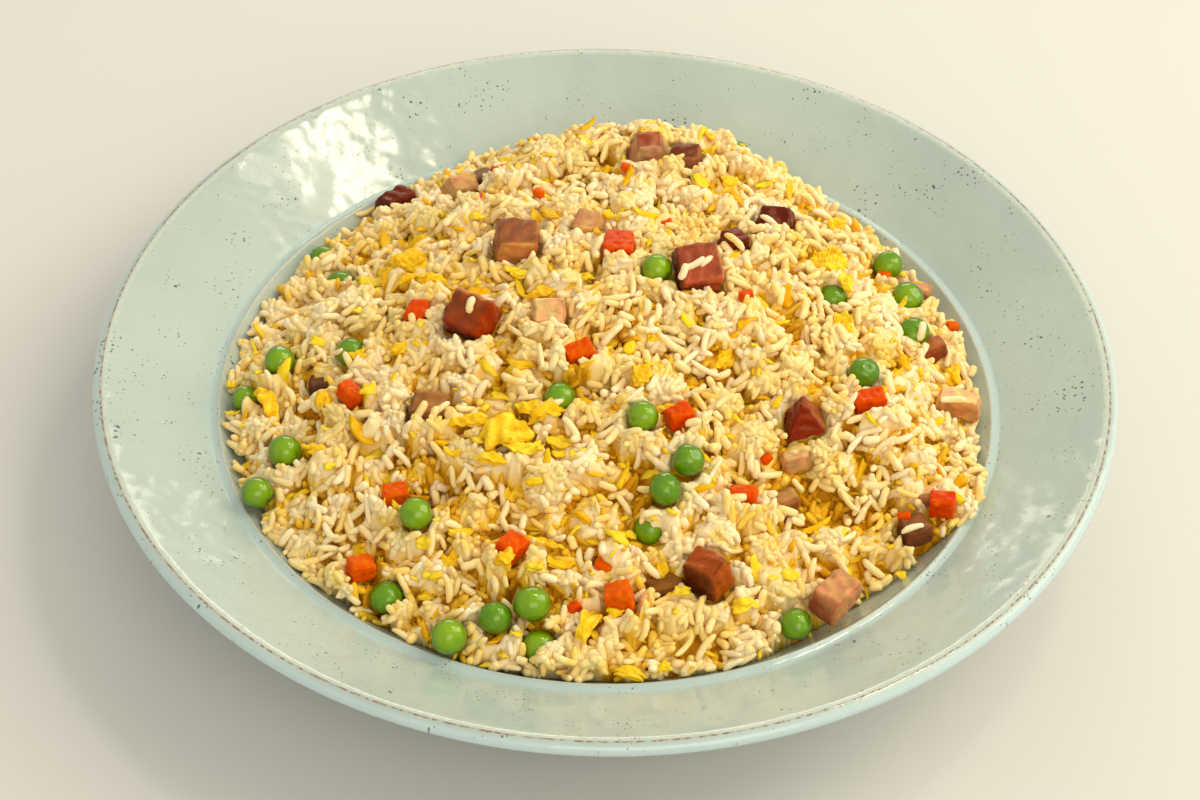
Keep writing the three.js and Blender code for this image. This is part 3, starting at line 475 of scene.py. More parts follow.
def plate_section():
    """Half section from the centre of the base, out round the lip and back over the floor."""
    outline = [
        (0, BASE_RECESS), (FOOT_INNER_RADIUS - 3 * FOOT_CHAMFER, BASE_RECESS),
        (FOOT_INNER_RADIUS - FOOT_CHAMFER, BASE_RECESS - 0.3), (FOOT_INNER_RADIUS - 0.3, 0.5),
        (FOOT_INNER_RADIUS + 0.4, 0), (FOOT_OUTER_RADIUS - FOOT_CHAMFER, 0),
        (FOOT_OUTER_RADIUS - 0.35, 0.35), (FOOT_OUTER_RADIUS, FOOT_CHAMFER),
    ]
    for radius in np.linspace(80, 103, 12):
        outline.append((radius + WALL_THICKNESS, plate_top(radius) - WALL_THICKNESS / 2))
    for along in np.linspace(0.12, 0.97, 8):
        low = (GROOVE_RADIUS + 2, GROOVE_HEIGHT - WALL_THICKNESS)
        high = (LIP_CENTRE[0] - 0.8, LIP_CENTRE[1] - LIP_DROP)
        outline.append(tuple(a + (b - a) * along for a, b in zip(low, high)))
    for angle in np.radians(np.linspace(-88, LIP_INNER_ANGLE, 22)):
        rise = LIP_RISE if angle > 0 else LIP_DROP
        outline.append((LIP_CENTRE[0] + LIP_REACH * math.cos(angle), LIP_CENTRE[1] + rise * math.sin(angle)))
    radii = [*np.linspace(134, 111, 12), *np.linspace(110, 103, 22), *np.linspace(102, 60, 22), 40, 20]
    for radius in radii:
        outline.append((radius, plate_top(radius) + ridge(radius)))
    return outline


def make_plate():
    section = plate_section()
    turn = 2 * math.pi * np.arange(PLATE_SEGMENTS) / PLATE_SEGMENTS
    rings = section[1:]
    points = [(0, 0, section[0][1])]
    for radius, height in rings:
        points.extend(zip(radius * np.cos(turn), radius * np.sin(turn), np.full(len(turn), height)))
    points.append((0, 0, FLOOR_HEIGHT))
    top = len(points) - 1
    n = PLATE_SEGMENTS
    here = np.arange(n)
    after = (here + 1) % n
    faces = [np.stack([np.zeros(n, int), 1 + after, 1 + here], 1)]
    for ring in range(len(rings) - 1):
        a, b = 1 + ring * n, 1 + (ring + 1) * n
        faces.append(np.stack([a + here, a + after, b + after], 1))
        faces.append(np.stack([a + here, b + after, b + here], 1))
    a = 1 + (len(rings) - 1) * n
    faces.append(np.stack([a + here, a + after, np.full(n, top)], 1))
    piece = mesh_piece("glazed_plate", points, np.concatenate(faces), glaze_material())
    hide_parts("plate")


def glaze_material():
    """Reactive celadon glaze on stoneware: glossy and softly wavy, freckled by iron in the clay,
    thin and brown where it drew back from the lip, bluer in a band just outside the well's ridge."""
    material, tree, shader = new_material("celadon glaze on speckled stoneware")
    place = put(tree, "ShaderNodeTexCoord", out="Object")
    flat = put(tree, VECTOR, {0: place, 1: (1, 1, 0)}, operation="MULTIPLY")
    radius = put(tree, VECTOR, {0: flat}, operation="LENGTH")
    height = put(tree, "ShaderNodeSeparateXYZ", {0: place}, out="Z")
    cloud = put(tree, NOISE, {"Vector": place, "Scale": 16.0, "Detail": 3.0})
    body = put(tree, RAMP, {0: cloud}, stops=[(0.36, GLAZE["deep"]), (0.62, GLAZE["light"])])
    # bluer in a band just outside the well's ridge, and thin over the lip
    band_strength = put(tree, SPAN, {"Value": radius, "From Min": GLAZE_BLUE_BAND[1], "From Max": GLAZE_BLUE_BAND[2],
        "To Min": 0.75, "To Max": 0.0}, interpolation_type="SMOOTHSTEP")
    in_rim = put(tree, MATH, {0: radius, 1: GLAZE_BLUE_BAND[0]}, operation="GREATER_THAN")
    blue_band = put(tree, MATH, {0: band_strength, 1: in_rim}, operation="MULTIPLY")
    blue = put(tree, MIX, {"Factor": blue_band, "A": body, "B": linear(GLAZE["edge"])}, data_type="RGBA")
    lip = put(tree, SPAN, {"Value": radius, "From Min": THIN_GLAZE[0], "From Max": THIN_GLAZE[1]},
        interpolation_type="SMOOTHSTEP")
    colour = put(tree, MIX, {"Factor": lip, "A": blue, "B": linear(GLAZE["lip"])}, data_type="RGBA")
    # iron freckles of three sizes, thicker in some patches than in others
    patch = put(tree, NOISE, {"Vector": place, "Scale": 90.0, "Detail": 1.0})
    for cells, rarity, reach in FRECKLES:
        dots = put(tree, "ShaderNodeTexVoronoi", {"Vector": place, "Scale": cells}, voronoi_dimensions="2D")
        chance = put(tree, "ShaderNodeSeparateColor", {0: dots.node.outputs["Color"]})
        sized = put(tree, MATH, {0: chance, 1: patch, 2: -rarity}, operation="MULTIPLY_ADD")
        limit = put(tree, MATH, {0: sized, 1: reach}, operation="MULTIPLY")
        near = put(tree, MATH, {0: limit, 1: dots}, operation="SUBTRACT")
        speck = put(tree, SPAN, {"Value": near, "From Min": 0.0, "From Max": 0.03, "To Max": 0.75})
        colour = put(tree, MIX, {"Factor": speck, "A": colour, "B": linear(GLAZE["speck"])},
            data_type="RGBA")
    # brown broken line on the lip, with a cream margin, and a tan line on the well's ridge
    grit = put(tree, NOISE, {"Vector": place, "Scale": 620.0, "Detail": 2.0})
    for middle, reach, tint, strength in GLAZE_LINES:
        away = put(tree, MATH, {0: radius, 1: middle}, operation="SUBTRACT")
        away = put(tree, MATH, {0: away}, operation="ABSOLUTE")
        line = put(tree, SPAN, {"Value": away, "From Min": reach * 0.4, "From Max": reach, "To Min": 1.0,
            "To Max": 0.0})
        broken = put(tree, SPAN, {"Value": grit, "From Min": 0.40, "From Max": 0.60, "To Min": 0.15,
            "To Max": strength})
        mask = put(tree, MATH, {0: line, 1: broken}, operation="MULTIPLY")
        above = put(tree, MATH, {0: height, 1: LOWEST_LINE}, operation="GREATER_THAN")
        mask = put(tree, MATH, {0: mask, 1: above}, operation="MULTIPLY")
        colour = put(tree, MIX, {"Factor": mask, "A": colour, "B": linear(tint)}, data_type="RGBA")
    # the foot's resting face is bare fired clay
    bare = put(tree, SPAN, {"Value": height, "From Min": BARE_FOOT[0], "From Max": BARE_FOOT[1],
        "To Min": 1.0, "To Max": 0.0})
    colour = put(tree, MIX, {"Factor": bare, "A": colour, "B": linear(GLAZE["bare clay"])}, data_type="RGBA")
    wave = put(tree, NOISE, {"Vector": place, "Scale": 60.0, "Detail": 2.0})
    pits = put(tree, NOISE, {"Vector": place, "Scale": 700.0, "Detail": 1.0})
    relief = put(tree, MATH, {0: pits, 1: 0.02, 2: wave}, operation="MULTIPLY_ADD")
    bump = put(tree, BUMP, {"Height": relief, "Strength": 1.0, "Distance": 0.001})
    rough = put(tree, SPAN, {"Value": bare, "To Min": 0.13, "To Max": 0.8})
    fill(tree, shader, {"Base Color": colour, "Normal": bump, "Roughness": rough, "IOR": 1.5})
    return material


# ---------------------------------------------------------------- height maps of the food
REACH = 112.0  # half the maps' side
CELL = 0.5
SKIN = 0.05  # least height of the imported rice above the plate
MEAN_REACH, WIDE_REACH = 2.2, 6.0  # blurs of the rice's mean surface, in the open and under toppings
TOPPING_REACH = 1.4  # round a topping the solid's own surface isn't read
HOLLOW_DEPTH, HOLLOW_FALL = 1.5, 1.2  # how deep the hollows are taken and how fast they close
CALM_REACH, CALM_SHARE = 3.0, 2.2  # near a topping the rice doesn't billow
FULL_SWELL = 15.0  # thickness of rice from which it billows fully
HIDING_ROUNDS, HIDING_DROP, HIDING_CLEARANCE = 10, 0.8, 1.5  # lowers rice that would hide a topping
SLOPE_ROUNDS = 8
CORE_BLUR = 0.28
UNDER_TOPPING = 0.8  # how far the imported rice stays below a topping's upper side
MIDDLE_RADIUS = 90.0  # where the usual depth of the crevices is measured
VALLEY_START, VALLEY_SPAN, VALLEY_HOLLOW = 0.3, 3.0, 0.13  # how depth turns into the share of painted shade, golden and darker
CREVICE_REACH, CREVICE_START, CREVICE_SPAN = 1.3, 0.1, 0.9
CLUMP_TRIES = 40000
LEAST_CLUMP = 2.4
NEST_ANGLES = (-150, -112, -72, -32, 20, 160)  # where clumps bed a topping, in degrees about it
NEST_RADII = (2.3, 3.3)
NEST_LIMIT = 101  # no nests beyond this distance from the plate's axis
SIDE = int(2 * REACH / CELL) + 1
AXIS = np.linspace(-REACH, REACH, SIDE)
MAP_X, MAP_Y = np.meshgrid(AXIS, AXIS)
MAP_RADIUS = np.hypot(MAP_X, MAP_Y)


def cells_at(x, y):
    """Row and column of the map's cell at a place in mm."""
    column = np.clip(np.rint((np.asarray(x) + REACH) / CELL).astype(int), 0, SIDE - 1)
    row = np.clip(np.rint((np.asarray(y) + REACH) / CELL).astype(int), 0, SIDE - 1)
    return row, column


def sampled(values, x, y):
    """A map's value at places between its cells."""
    column = np.clip((np.asarray(x) + REACH) / CELL, 0, SIDE - 1.001)
    row = np.clip((np.asarray(y) + REACH) / CELL, 0, SIDE - 1.001)
    c, r = column.astype(int), row.astype(int)
    across, up = column - c, row - r
    low = values[r, c] * (1 - across) + values[r, c + 1] * across
    high = values[r + 1, c] * (1 - across) + values[r + 1, c + 1] * across
    return low * (1 - up) + high * up


def blurred(values, sigma):
    """Gaussian blur of a map, sigma in mm."""
    reach = int(3 * sigma / CELL)
    steps = np.arange(-reach, reach + 1) * CELL
    weights = np.exp(-(steps / sigma) ** 2 / 2)
    weights /= weights.sum()
    padded = np.pad(values, reach, mode="edge")
    rows = sum(w * padded[i:i + SIDE, :] for i, w in enumerate(weights))
    return sum(w * rows[:, i:i + SIDE] for i, w in enumerate(weights))


def ripple_map(rng, *waves):
    """Random relief over the whole map: the sum of waves given as height and length."""
    ground = np.stack([MAP_X, MAP_Y, 0 * MAP_X], 2).reshape(-1, 3)
    return sum(height * ripple(ground, rng, length) for height, length in waves).reshape(SIDE, SIDE)


def surface_map(node, from_below=False, step=2):
    """Heights of a CAD node seen from straight above or below, NaN beside it."""
    low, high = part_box(node)
    tree = ray_tree(node)
    found = np.full((SIDE, SIDE), np.nan)
    start, way = (-10.0, Vector((0, 0, 1))) if from_below else (100.0, Vector((0, 0, -1)))
    (r0, c0), (r1, c1) = cells_at(low.x / MM, low.y / MM), cells_at(high.x / MM, high.y / MM)
    for row in range(r0 - r0 % step, r1 + 1, step):
        for column in range(c0 - c0 % step, c1 + 1, step):
            hit = tree.ray_cast(Vector((AXIS[column], AXIS[row], start)), way)[0]
            if hit:
                found[row:row + step, column:column + step] = hit.z
    return found


VIEW_LEAN = math.radians(43.6)  # from level down to the line of sight of the diner
VIEW_STEP = 0.5
VIEW_UP = (math.sin(VIEW_LEAN), math.cos(VIEW_LEAN))
VIEW_LEFT, VIEW_LOW = -120, -90  # the first column and row of what is seen
VIEW_WIDE, VIEW_HIGH = 240, 210
VIEW_FAR = 400  # from where the sight lines start
NOTHING = -1e3  # height where a map has no piece


def hidden_share(node):
    return COVERED.get(node, USUALLY_COVERED[node[:3]])


class FrontView:
    """What of the larger pieces shows from the diner's side, and how far forward it is."""

    def __init__(self, nodes):
        self.near = np.full((int(VIEW_HIGH / VIEW_STEP), int(VIEW_WIDE / VIEW_STEP)), NOTHING)
        self.whole = self.near.copy()
        self.reaches = {}
        for node in nodes:
            self.add(node)
        # a margin round every piece may be covered
        self.near = dilated(self.near, 2, highest=False)

    def add(self, node):
        """Looks at one piece; the rice in front may cover its lowest share."""
        points, _ = arrays_of(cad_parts[node].data)
        tree = ray_tree(node)
        sight = Vector((0, math.cos(VIEW_LEAN), -math.sin(VIEW_LEAN)))
        up = Vector((0, VIEW_UP[0], VIEW_UP[1]))
        flat = points[:, 1] * VIEW_UP[0] + points[:, 2] * VIEW_UP[1]
        self.reaches[node] = ((points[:, 0].min() + points[:, 0].max()) / 2, flat.min(), flat.max())
        limit = flat.min() + np.ptp(flat) * hidden_share(node)
        rows = range(*self.cells(0, np.array([flat.min() - 1, flat.max() + 1]))[0])
        columns = range(*self.cells(np.array([points[:, 0].min() - 1, points[:, 0].max() + 1]), 0)[1])
        for row in rows:
            for column in columns:
                upward = row * VIEW_STEP + VIEW_LOW
                start = Vector((column * VIEW_STEP + VIEW_LEFT, 0, 0)) + up * upward - sight * VIEW_FAR
                distance = tree.ray_cast(start, sight)[3]
                if distance:
                    self.whole[row, column] = max(self.whole[row, column], VIEW_FAR - distance)
                    if upward > limit:
                        self.near[row, column] = max(self.near[row, column], VIEW_FAR - distance)

    def on_face(self, node, across, upward):
        """A place in mm on the face that a piece shows, and the way it looks."""
        middle, low, high = self.reaches[node]
        across += middle
        upward += (low + high) / 2
        forward = self.whole[self.cells(across, upward)]
        return np.array((across, upward * VIEW_UP[0] - forward * VIEW_UP[1],
                         upward * VIEW_UP[1] + forward * VIEW_UP[0]))

    def cells(self, across, upward):
        shape = self.near.shape
        row = np.clip(np.rint((np.asarray(upward) - VIEW_LOW) / VIEW_STEP).astype(int), 0, shape[0] - 1)
        column = np.clip(np.rint((np.asarray(across) - VIEW_LEFT) / VIEW_STEP).astype(int), 0, shape[1] - 1)
        return row, column

    def in_front_of_piece(self, x, y, z):
        """Whether places in mm stand in front of a piece's visible part."""
        behind = self.near[self.cells(x, y * VIEW_UP[0] + z * VIEW_UP[1])]
        return (behind > NOTHING * 0.9) & (behind < z * VIEW_UP[0] - y * VIEW_UP[1])


class RiceMaps:
    """Where the rice's surface, its core, the plate and the larger pieces are."""

    def __init__(self, rng):
        solid = surface_map("fried_rice")
        inside = ~np.isnan(solid)
        self.piece_top = np.full((SIDE, SIDE), NOTHING)
        self.piece_low = np.full((SIDE, SIDE), -NOTHING)
        pieces = [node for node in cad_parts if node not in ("plate", "fried_rice")]
        self.front = FrontView(pieces)
        for node in pieces:
            self.piece_top = np.fmax(self.piece_top, surface_map(node, step=1))
            self.piece_low = np.fmin(self.piece_low, surface_map(node, from_below=True, step=1))
        under_piece = blurred((self.piece_top > 0).astype(float), TOPPING_REACH) > 0.03
        known = inside & ~under_piece
        level = np.where(known, np.nan_to_num(solid), 0.0)
        mean, wide = (blurred(level, reach) / np.maximum(blurred(known.astype(float), reach), 1e-6)
                      for reach in (MEAN_REACH, WIDE_REACH))
        trust = np.clip(blurred(known.astype(float), MEAN_REACH) * 3, 0, 1)
        self.inside = inside
        self.plate = plate_top(MAP_RADIUS) + ridge(MAP_RADIUS)
        smooth = np.where(inside, trust * mean + (1 - trust) * wide, self.plate)
        self.hollow = np.zeros((SIDE, SIDE))
        for x, y, radius, depth in HOLLOWS:
            away = np.hypot(MAP_X - x, MAP_Y - y) / radius
            self.hollow = np.maximum(self.hollow, HOLLOW_DEPTH * depth * np.exp(-HOLLOW_FALL * away ** 2))
        beside = blurred((self.piece_top > 0).astype(float), CALM_REACH)
        open_rice = 1 - np.clip(CALM_SHARE * beside, 0, 1)
        swell = ripple_map(rng, *SWELLS)
        swell *= open_rice * np.clip((smooth - self.plate) / FULL_SWELL, 0, 1)
        self.hollow = self.hollow - swell
        self.surface = np.maximum(smooth - self.hollow, self.plate + 0.3)
        self.clumps = self.spread_clumps(rng)
        self.dome = np.where(inside, self.surface - CORE_DEPTH, NOTHING)
        for x, y, z, radius in self.clumps:
            rows, columns = np.nonzero((np.abs(AXIS - y) < radius)[:, None] & (np.abs(AXIS - x) < radius))
            away = np.hypot(AXIS[columns] - x, AXIS[rows] - y) / radius
            bump = z + radius * CLUMP_HEIGHT * clump_rise(np.minimum(away, 1))
            bump = np.where(away < 1, bump, NOTHING)
            self.dome[rows, columns] = np.maximum(self.dome[rows, columns], bump)
        self.dome = np.minimum(self.dome, self.surface + STAND_OUT - 1.0)
        self.pile = np.maximum(np.where(inside, self.dome - CORE_BELOW_CLUMP, NOTHING), self.plate + SKIN)
        for _ in range(HIDING_ROUNDS):
            hiding = self.front.in_front_of_piece(MAP_X, MAP_Y, self.pile + HIDING_CLEARANCE)
            lowered = np.maximum(self.pile - HIDING_DROP, self.plate + SKIN)
            self.pile = np.where(hiding & (self.piece_top < 0), lowered, self.pile)
        self.pile = np.maximum(eased(self.pile, STEEPEST, SLOPE_ROUNDS), self.plate + SKIN)
        self.top_of_piece = dilated(self.piece_top, 2)
        self.low_of_piece = dilated(self.piece_low, 2, highest=False)
        tight = ~(dilated((~inside).astype(float), 1) > 0)
        self.outline = np.where(MAP_X < 0, dilated(inside.astype(float), 4) > 0, tight)
        for drop in FUSED_DEPTHS:
            clump_grains(self, rng, FUSED_SHARE, drop)
        under = np.where(self.piece_top > 0, self.piece_top - UNDER_TOPPING, np.inf)
        self.core = np.maximum(np.minimum(blurred(self.pile, CORE_BLUR), under), self.plate + SKIN)
        # how far the rice lies low, in gaps and hollows: the share of painted shade it gets
        sunk = self.surface + self.hollow - blurred(self.core, 0.8)
        usual = sunk[inside & (MAP_RADIUS < MIDDLE_RADIUS)].mean()
        gap = blurred(self.core, CREVICE_REACH) - self.core
        crevice = np.clip((gap - CREVICE_START) / CREVICE_SPAN, 0, 1)
        self.valley = (sunk - usual + VALLEY_START) / VALLEY_SPAN + CREVICE_SHARE * crevice
        self.valley = np.clip(self.valley + VALLEY_HOLLOW * np.maximum(self.hollow, 0), 0, 1)
        self.pile = self.core.copy()

    def nests(self, rng):
        """Small clumps in front of and beside every larger piece, which bed it in the rice."""
        for node, (_, lowest, highest) in self.front.reaches.items():
            low, high = (np.array(corner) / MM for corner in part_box(node))
            middle, half = (low + high) / 2, (high - low) / 2
            hidden = hidden_share(node)
            limit = lowest + hidden * (highest - lowest)
            for angle in NEST_ANGLES:
                radius = rng.uniform(*NEST_RADII)
                way = math.radians(angle + rng.uniform(-12, 12))
                x = middle[0] + math.cos(way) * (half[0] + radius * 0.55)
                y = middle[1] + math.sin(way) * (half[1] + radius * 0.55)
                cell = cells_at(x, y)
                if not self.inside[cell] or np.hypot(x, y) > NEST_LIMIT or self.piece_top[cell] > 0:
                    continue
                if angle < 0:
                    top = (limit - y * VIEW_UP[0]) / VIEW_UP[1] + rng.uniform(-0.8, 0.3)
                    top = min(top, self.surface[cell] + (2.4 if hidden < 0.5 else 4.5))
                else:
                    top = min(middle[2] + rng.uniform(-1.5, 0.8), self.surface[cell] + 1.4)
                if top > self.surface[cell] - 4:
                    yield x, y, top - radius * CLUMP_HEIGHT, radius
        for turn, reach, rise, radius in BANKS:
            x, y = reach * math.cos(math.radians(turn)), reach * math.sin(math.radians(turn))
            yield x, y, plate_top(reach) + rise - radius * CLUMP_HEIGHT, radius

    def spread_clumps(self, rng):
        """Sticky clumps of uneven size, close together all over the heap: x, y, z and radius."""
        rows, columns = np.nonzero(self.inside)
        clumps = np.array(list(self.nests(rng)))
        for x, y, z, radius in clumps:
            near = np.hypot(MAP_X - x, MAP_Y - y) < radius
            self.surface[near] = np.maximum(self.surface[near], z + radius * CLUMP_HEIGHT - 1.0)
        for _ in range(CLUMP_TRIES):
            pick = rng.integers(len(rows))
            x, y = AXIS[columns[pick]], AXIS[rows[pick]]
            radius = rng.uniform(*CLUMP_RADII)
            thick = self.surface[rows[pick], columns[pick]] - self.plate[rows[pick], columns[pick]]
            radius = min(radius, max(thick * 1.2, LEAST_CLUMP))
            gaps = np.hypot(clumps[:, 0] - x, clumps[:, 1] - y) / (clumps[:, 3] + radius)
            if len(gaps) and gaps.min() < CLUMP_SHARE_OF_GAP:
                continue
            if any(math.hypot(x - hx, y - hy) < hr * 0.8 for hx, hy, hr, _ in HOLLOWS):
                continue
            rise = CLUMP_RISE[0] + (CLUMP_RISE[1] - CLUMP_RISE[0]) * rng.random() ** 1.4
            rise *= min(1, thick / 12)
            z = self.surface[rows[pick], columns[pick]] + rise - radius * CLUMP_HEIGHT
            clumps = np.vstack([clumps, (x, y, z, radius)])
            if len(clumps) >= CLUMP_COUNT:
                break
        return clumps

    def block(self, points, clear=False):
        """Keeps later grains out of a scrap's body; clear keeps them from lying on it too."""
        row, column = cells_at(points[:, 0], points[:, 1])
        top = np.inf if clear else points[:, 2].max() - BLOCK_MARGIN
        area = (slice(row.min(), row.max() + 1), slice(column.min(), column.max() + 1))
        away = np.hypot((MAP_X[area] - points[:, 0].mean()) / (np.ptp(points[:, 0]) / 2 + 0.1),
                        (MAP_Y[area] - points[:, 1].mean()) / (np.ptp(points[:, 1]) / 2 + 0.1))
        under = away < 0.95
        self.top_of_piece[area] = np.where(under, np.maximum(self.top_of_piece[area], top),
                                           self.top_of_piece[area])
        low = points[:, 2].min() + BLOCK_MARGIN
        self.low_of_piece[area] = np.where(under, np.minimum(self.low_of_piece[area], low),
                                           self.low_of_piece[area])

    def depth(self, x, y):
        """From 0 on the clumps to 1 in the crevices between them: the share of painted shade."""
        return sampled(self.valley, x, y)

    def lift(self, centre, axis, half, girth):
        """How far a grain has to be raised to lie on the plate and not in it."""
        line = centre + np.outer(SAMPLES * (half - 0.3), axis)
        need = (self.plate[cells_at(line[:, 0], line[:, 1])] + girth * 0.9 - line[:, 2]).max()
        return need if 0 < need < 2.0 else 0.0

    def keeps_off(self, centre, axis, half, girth):
        """Whether a grain keeps clear of the plate and of every larger piece, and stays low enough."""
        line = centre + np.outer(SAMPLES * (half - 0.3), axis)
        cells = cells_at(line[:, 0], line[:, 1])
        low, high = line[:, 2] - girth, line[:, 2] + girth
        if high.max() > HEAP_TOP or (low < self.plate[cells] - 0.3).any():
            return False
        if (high > self.surface[cells] + STAND_OUT).any() or not self.outline[cells].all():
            return False
        if ((high > self.low_of_piece[cells]) & (low < self.top_of_piece[cells])).any():
            return False
        return not self.front.in_front_of_piece(*line.T).any()

    def cover(self, x, y, z, heading, lean, half, girth):
        """Raises the pile to the upper side of a grain."""
        reach = int((half + 0.5) / CELL) + 1
        (row, column), cos, sin = cells_at(x, y), math.cos(heading), math.sin(heading)
        r0, r1 = max(row - reach, 0), min(row + reach + 1, SIDE)
        c0, c1 = max(column - reach, 0), min(column + reach + 1, SIDE)
        dx, dy = MAP_X[r0:r1, c0:c1] - x, MAP_Y[r0:r1, c0:c1] - y
        along, across = dx * cos + dy * sin, -dx * sin + dy * cos
        reach = half * math.cos(lean) + girth * abs(math.sin(lean))
        round_ = 1 - (along / reach) ** 4 - (across / girth) ** 2
        rise = half * abs(math.sin(lean))
        top = z + np.clip(math.tan(lean) * along, -rise, rise) + girth * np.sqrt(np.clip(round_, 0, 1))
        patch = self.pile[r0:r1, c0:c1]
        patch[...] = np.where(round_ > 0, np.maximum(patch, top), patch)


def clump_rise(away):
    """Height of a clump, from 1 over its middle to 0 at its edge."""
    return (1 - away ** 2) ** 0.75


def eased(values, slope, rounds):
    """Cuts back whatever stands steeper than a slope."""
    result = values.copy()
    for _ in range(rounds):
        for dr, dc in ((0, 1), (0, -1), (1, 0), (-1, 0), (1, 1), (1, -1), (-1, 1), (-1, -1)):
            moved = np.roll(result, (dr, dc), (0, 1))
            result = np.minimum(result, moved + slope * CELL * math.hypot(dr, dc))
    return result


def dilated(values, cells, highest=True):
    """The highest or lowest value within a few cells."""
    result = values.copy()
    for dr in range(-cells, cells + 1):
        for dc in range(-cells, cells + 1):
            if dr * dr + dc * dc <= cells * cells + 1:
                moved = np.roll(values, (dr, dc), (0, 1))
                result = np.maximum(result, moved) if highest else np.minimum(result, moved)
    return result


# ---------------------------------------------------------------- laying the grains
SAMPLES = np.linspace(-1, 1, 7)
GRAIN_HALVES = np.array([(kind[1] / 2, kind[2] / 2) for kind in GRAIN_KINDS])
GRAIN_SHARES = np.array([kind[5] for kind in GRAIN_KINDS])
GOLDEN_ANGLE = math.pi * (3 - math.sqrt(5))


def picked_grain(rng):
    """A kind of grain with its own size: kind, scale, half length and half width."""
    kind = rng.choice(len(GRAIN_HALVES), p=GRAIN_SHARES)
    size = np.clip(rng.normal(1.0, 0.12, 2), 0.72, 1.25)
    return (kind, size, *(GRAIN_HALVES[kind] * size))


def sideways(rng, out):
    """A random direction square to another."""
    side = rng.normal(size=3)
    side -= out * (side @ out)
    return side / np.linalg.norm(side)


def clump_grains(maps, rng, share, drop=0.0):
    """Grains stuck together in clumps: most lie along the clump, some stand out of it."""
    laid = []
    for x, y, z, radius in maps.clumps:
        count = int(GRAINS_PER_AREA * share * radius * radius) + 2
        tone = rng.normal(0.42, 0.2)
        spin = rng.uniform(0, 2 * math.pi)
        for k in range(count):
            flat = math.sqrt((k + rng.uniform(0.2, 0.8)) / count)
            angle = spin + k * GOLDEN_ANGLE + rng.normal(0, 0.25)
            out = np.array([flat * math.cos(angle), flat * math.sin(angle), math.sqrt(1.1 - flat * flat)])
            out /= np.linalg.norm(out)
            kind, size, half, girth = picked_grain(rng)
            side = sideways(rng, out)
            stand = rng.normal(0.05, 0.13)
            if rng.random() < STANDING_SHARE and not drop:
                stand = rng.uniform(*STANDING_ANGLES)
            axis = side * math.cos(stand) + out * math.sin(stand)
            out_by = half * math.sin(stand) * 0.25 - girth * 0.6 - drop
            centre = out * out_by + (
                x + radius * flat * math.cos(angle), y + radius * flat * math.sin(angle),
                z + radius * CLUMP_HEIGHT * clump_rise(flat))
            if axis[2] < 0:
                axis = -axis
            centre[2] += maps.lift(centre, axis, half, girth)
            if not maps.keeps_off(centre, axis, half, girth):
                continue
            heading, lean = math.atan2(axis[1], axis[0]), math.asin(min(axis[2], 0.97))
            laid.append((*centre, heading, lean, kind, *size, tone))
    for grain in laid:
        half, girth = GRAIN_HALVES[int(grain[5])] * grain[6:8]
        maps.cover(*grain[:5], half, girth)
    return laid


def side_grains(maps, rng, count):
    """Grains stuck against the steep sides of the clumps."""
    smooth = blurred(maps.core, 0.6)
    rise_y, rise_x = np.gradient(smooth, CELL)
    steep = maps.inside & (maps.piece_top < 0) & (np.hypot(rise_x, rise_y) + 0.5 * rise_y > 0.9)
    rows, columns = np.nonzero(steep)
    laid, taken = [], np.zeros((SIDE, SIDE), bool)
    for pick in rng.permutation(len(rows)):
        if len(laid) >= count:
            break
        row, column = rows[pick], columns[pick]
        if taken[row, column]:
            continue
        out = np.array((-rise_x[row, column], -rise_y[row, column], 1.0))
        out /= np.linalg.norm(out)
        kind, size, half, girth = picked_grain(rng)
        side = sideways(rng, out)
        stand = rng.normal(0.1, 0.3)
        axis = side * math.cos(stand) + out * math.sin(stand)
        axis = -axis if axis[2] < 0 else axis
        centre = np.array((AXIS[column], AXIS[row], smooth[row, column])) + out * girth * rng.uniform(0, 0.6)
        if maps.keeps_off(centre, axis, half, girth):
            lean = math.asin(min(axis[2], 0.97))
            laid.append((*centre, math.atan2(axis[1], axis[0]), lean, kind, *size, rng.uniform(0.1, 0.7)))
            taken[row - 3:row + 4, column - 3:column + 4] = True
    return laid


def rest_line(offsets, support):
    """Height and slope at which a grain lies on its two highest supports."""
    best = (support[3], 0.0)
    for i in (0, 1, 2):
        for j in (4, 5, 6):
            slope = (support[j] - support[i]) / (offsets[j] - offsets[i])
            height = support[i] - slope * offsets[i]
            if height > best[0]:
                best = (height, slope)
    return best


def drop_grains(maps, rng, limit, tries, wanted):
    """Drops grains into the lowest of a few places each, until the gaps are filled."""
    rows, columns = np.nonzero(maps.inside & (MAP_RADIUS < 108))
    laid = []
    for _ in range(tries):
        if len(laid) >= limit:
            break
        pick = rng.integers(0, len(rows), 7)
        r, c = rows[pick], columns[pick]
        room = maps.surface[r, c] - maps.pile[r, c]
        best = room.argmax()
        if room[best] < wanted:
            continue
        x, y = AXIS[c[best]], AXIS[r[best]]
        kind, size, half, girth = picked_grain(rng)
        heading = rng.uniform(0, 2 * math.pi)
        cos, sin = math.cos(heading), math.sin(heading)
        offsets = SAMPLES * (half - 0.35)
        thick = girth * np.sqrt(1 - (SAMPLES * 0.88) ** 2)
        row, column = cells_at(x + offsets * cos, y + offsets * sin)
        support = maps.pile[row, column] + thick * 0.75
        height, slope = rest_line(offsets, support)
        slope = min(max(slope + rng.normal(0, 0.22), -1.0), 1.0)
        height = max(height, (support - slope * offsets).max() - 1.0)
        lean = math.atan(slope)
        axis = np.array([cos * math.cos(lean), sin * math.cos(lean), math.sin(lean)])
        if maps.keeps_off(np.array([x, y, height]), axis, half, girth):
            laid.append((x, y, height, heading, lean, kind, *size, rng.uniform(0.0, 0.6)))
            maps.cover(x, y, height, heading, lean, half, girth)
    return laid


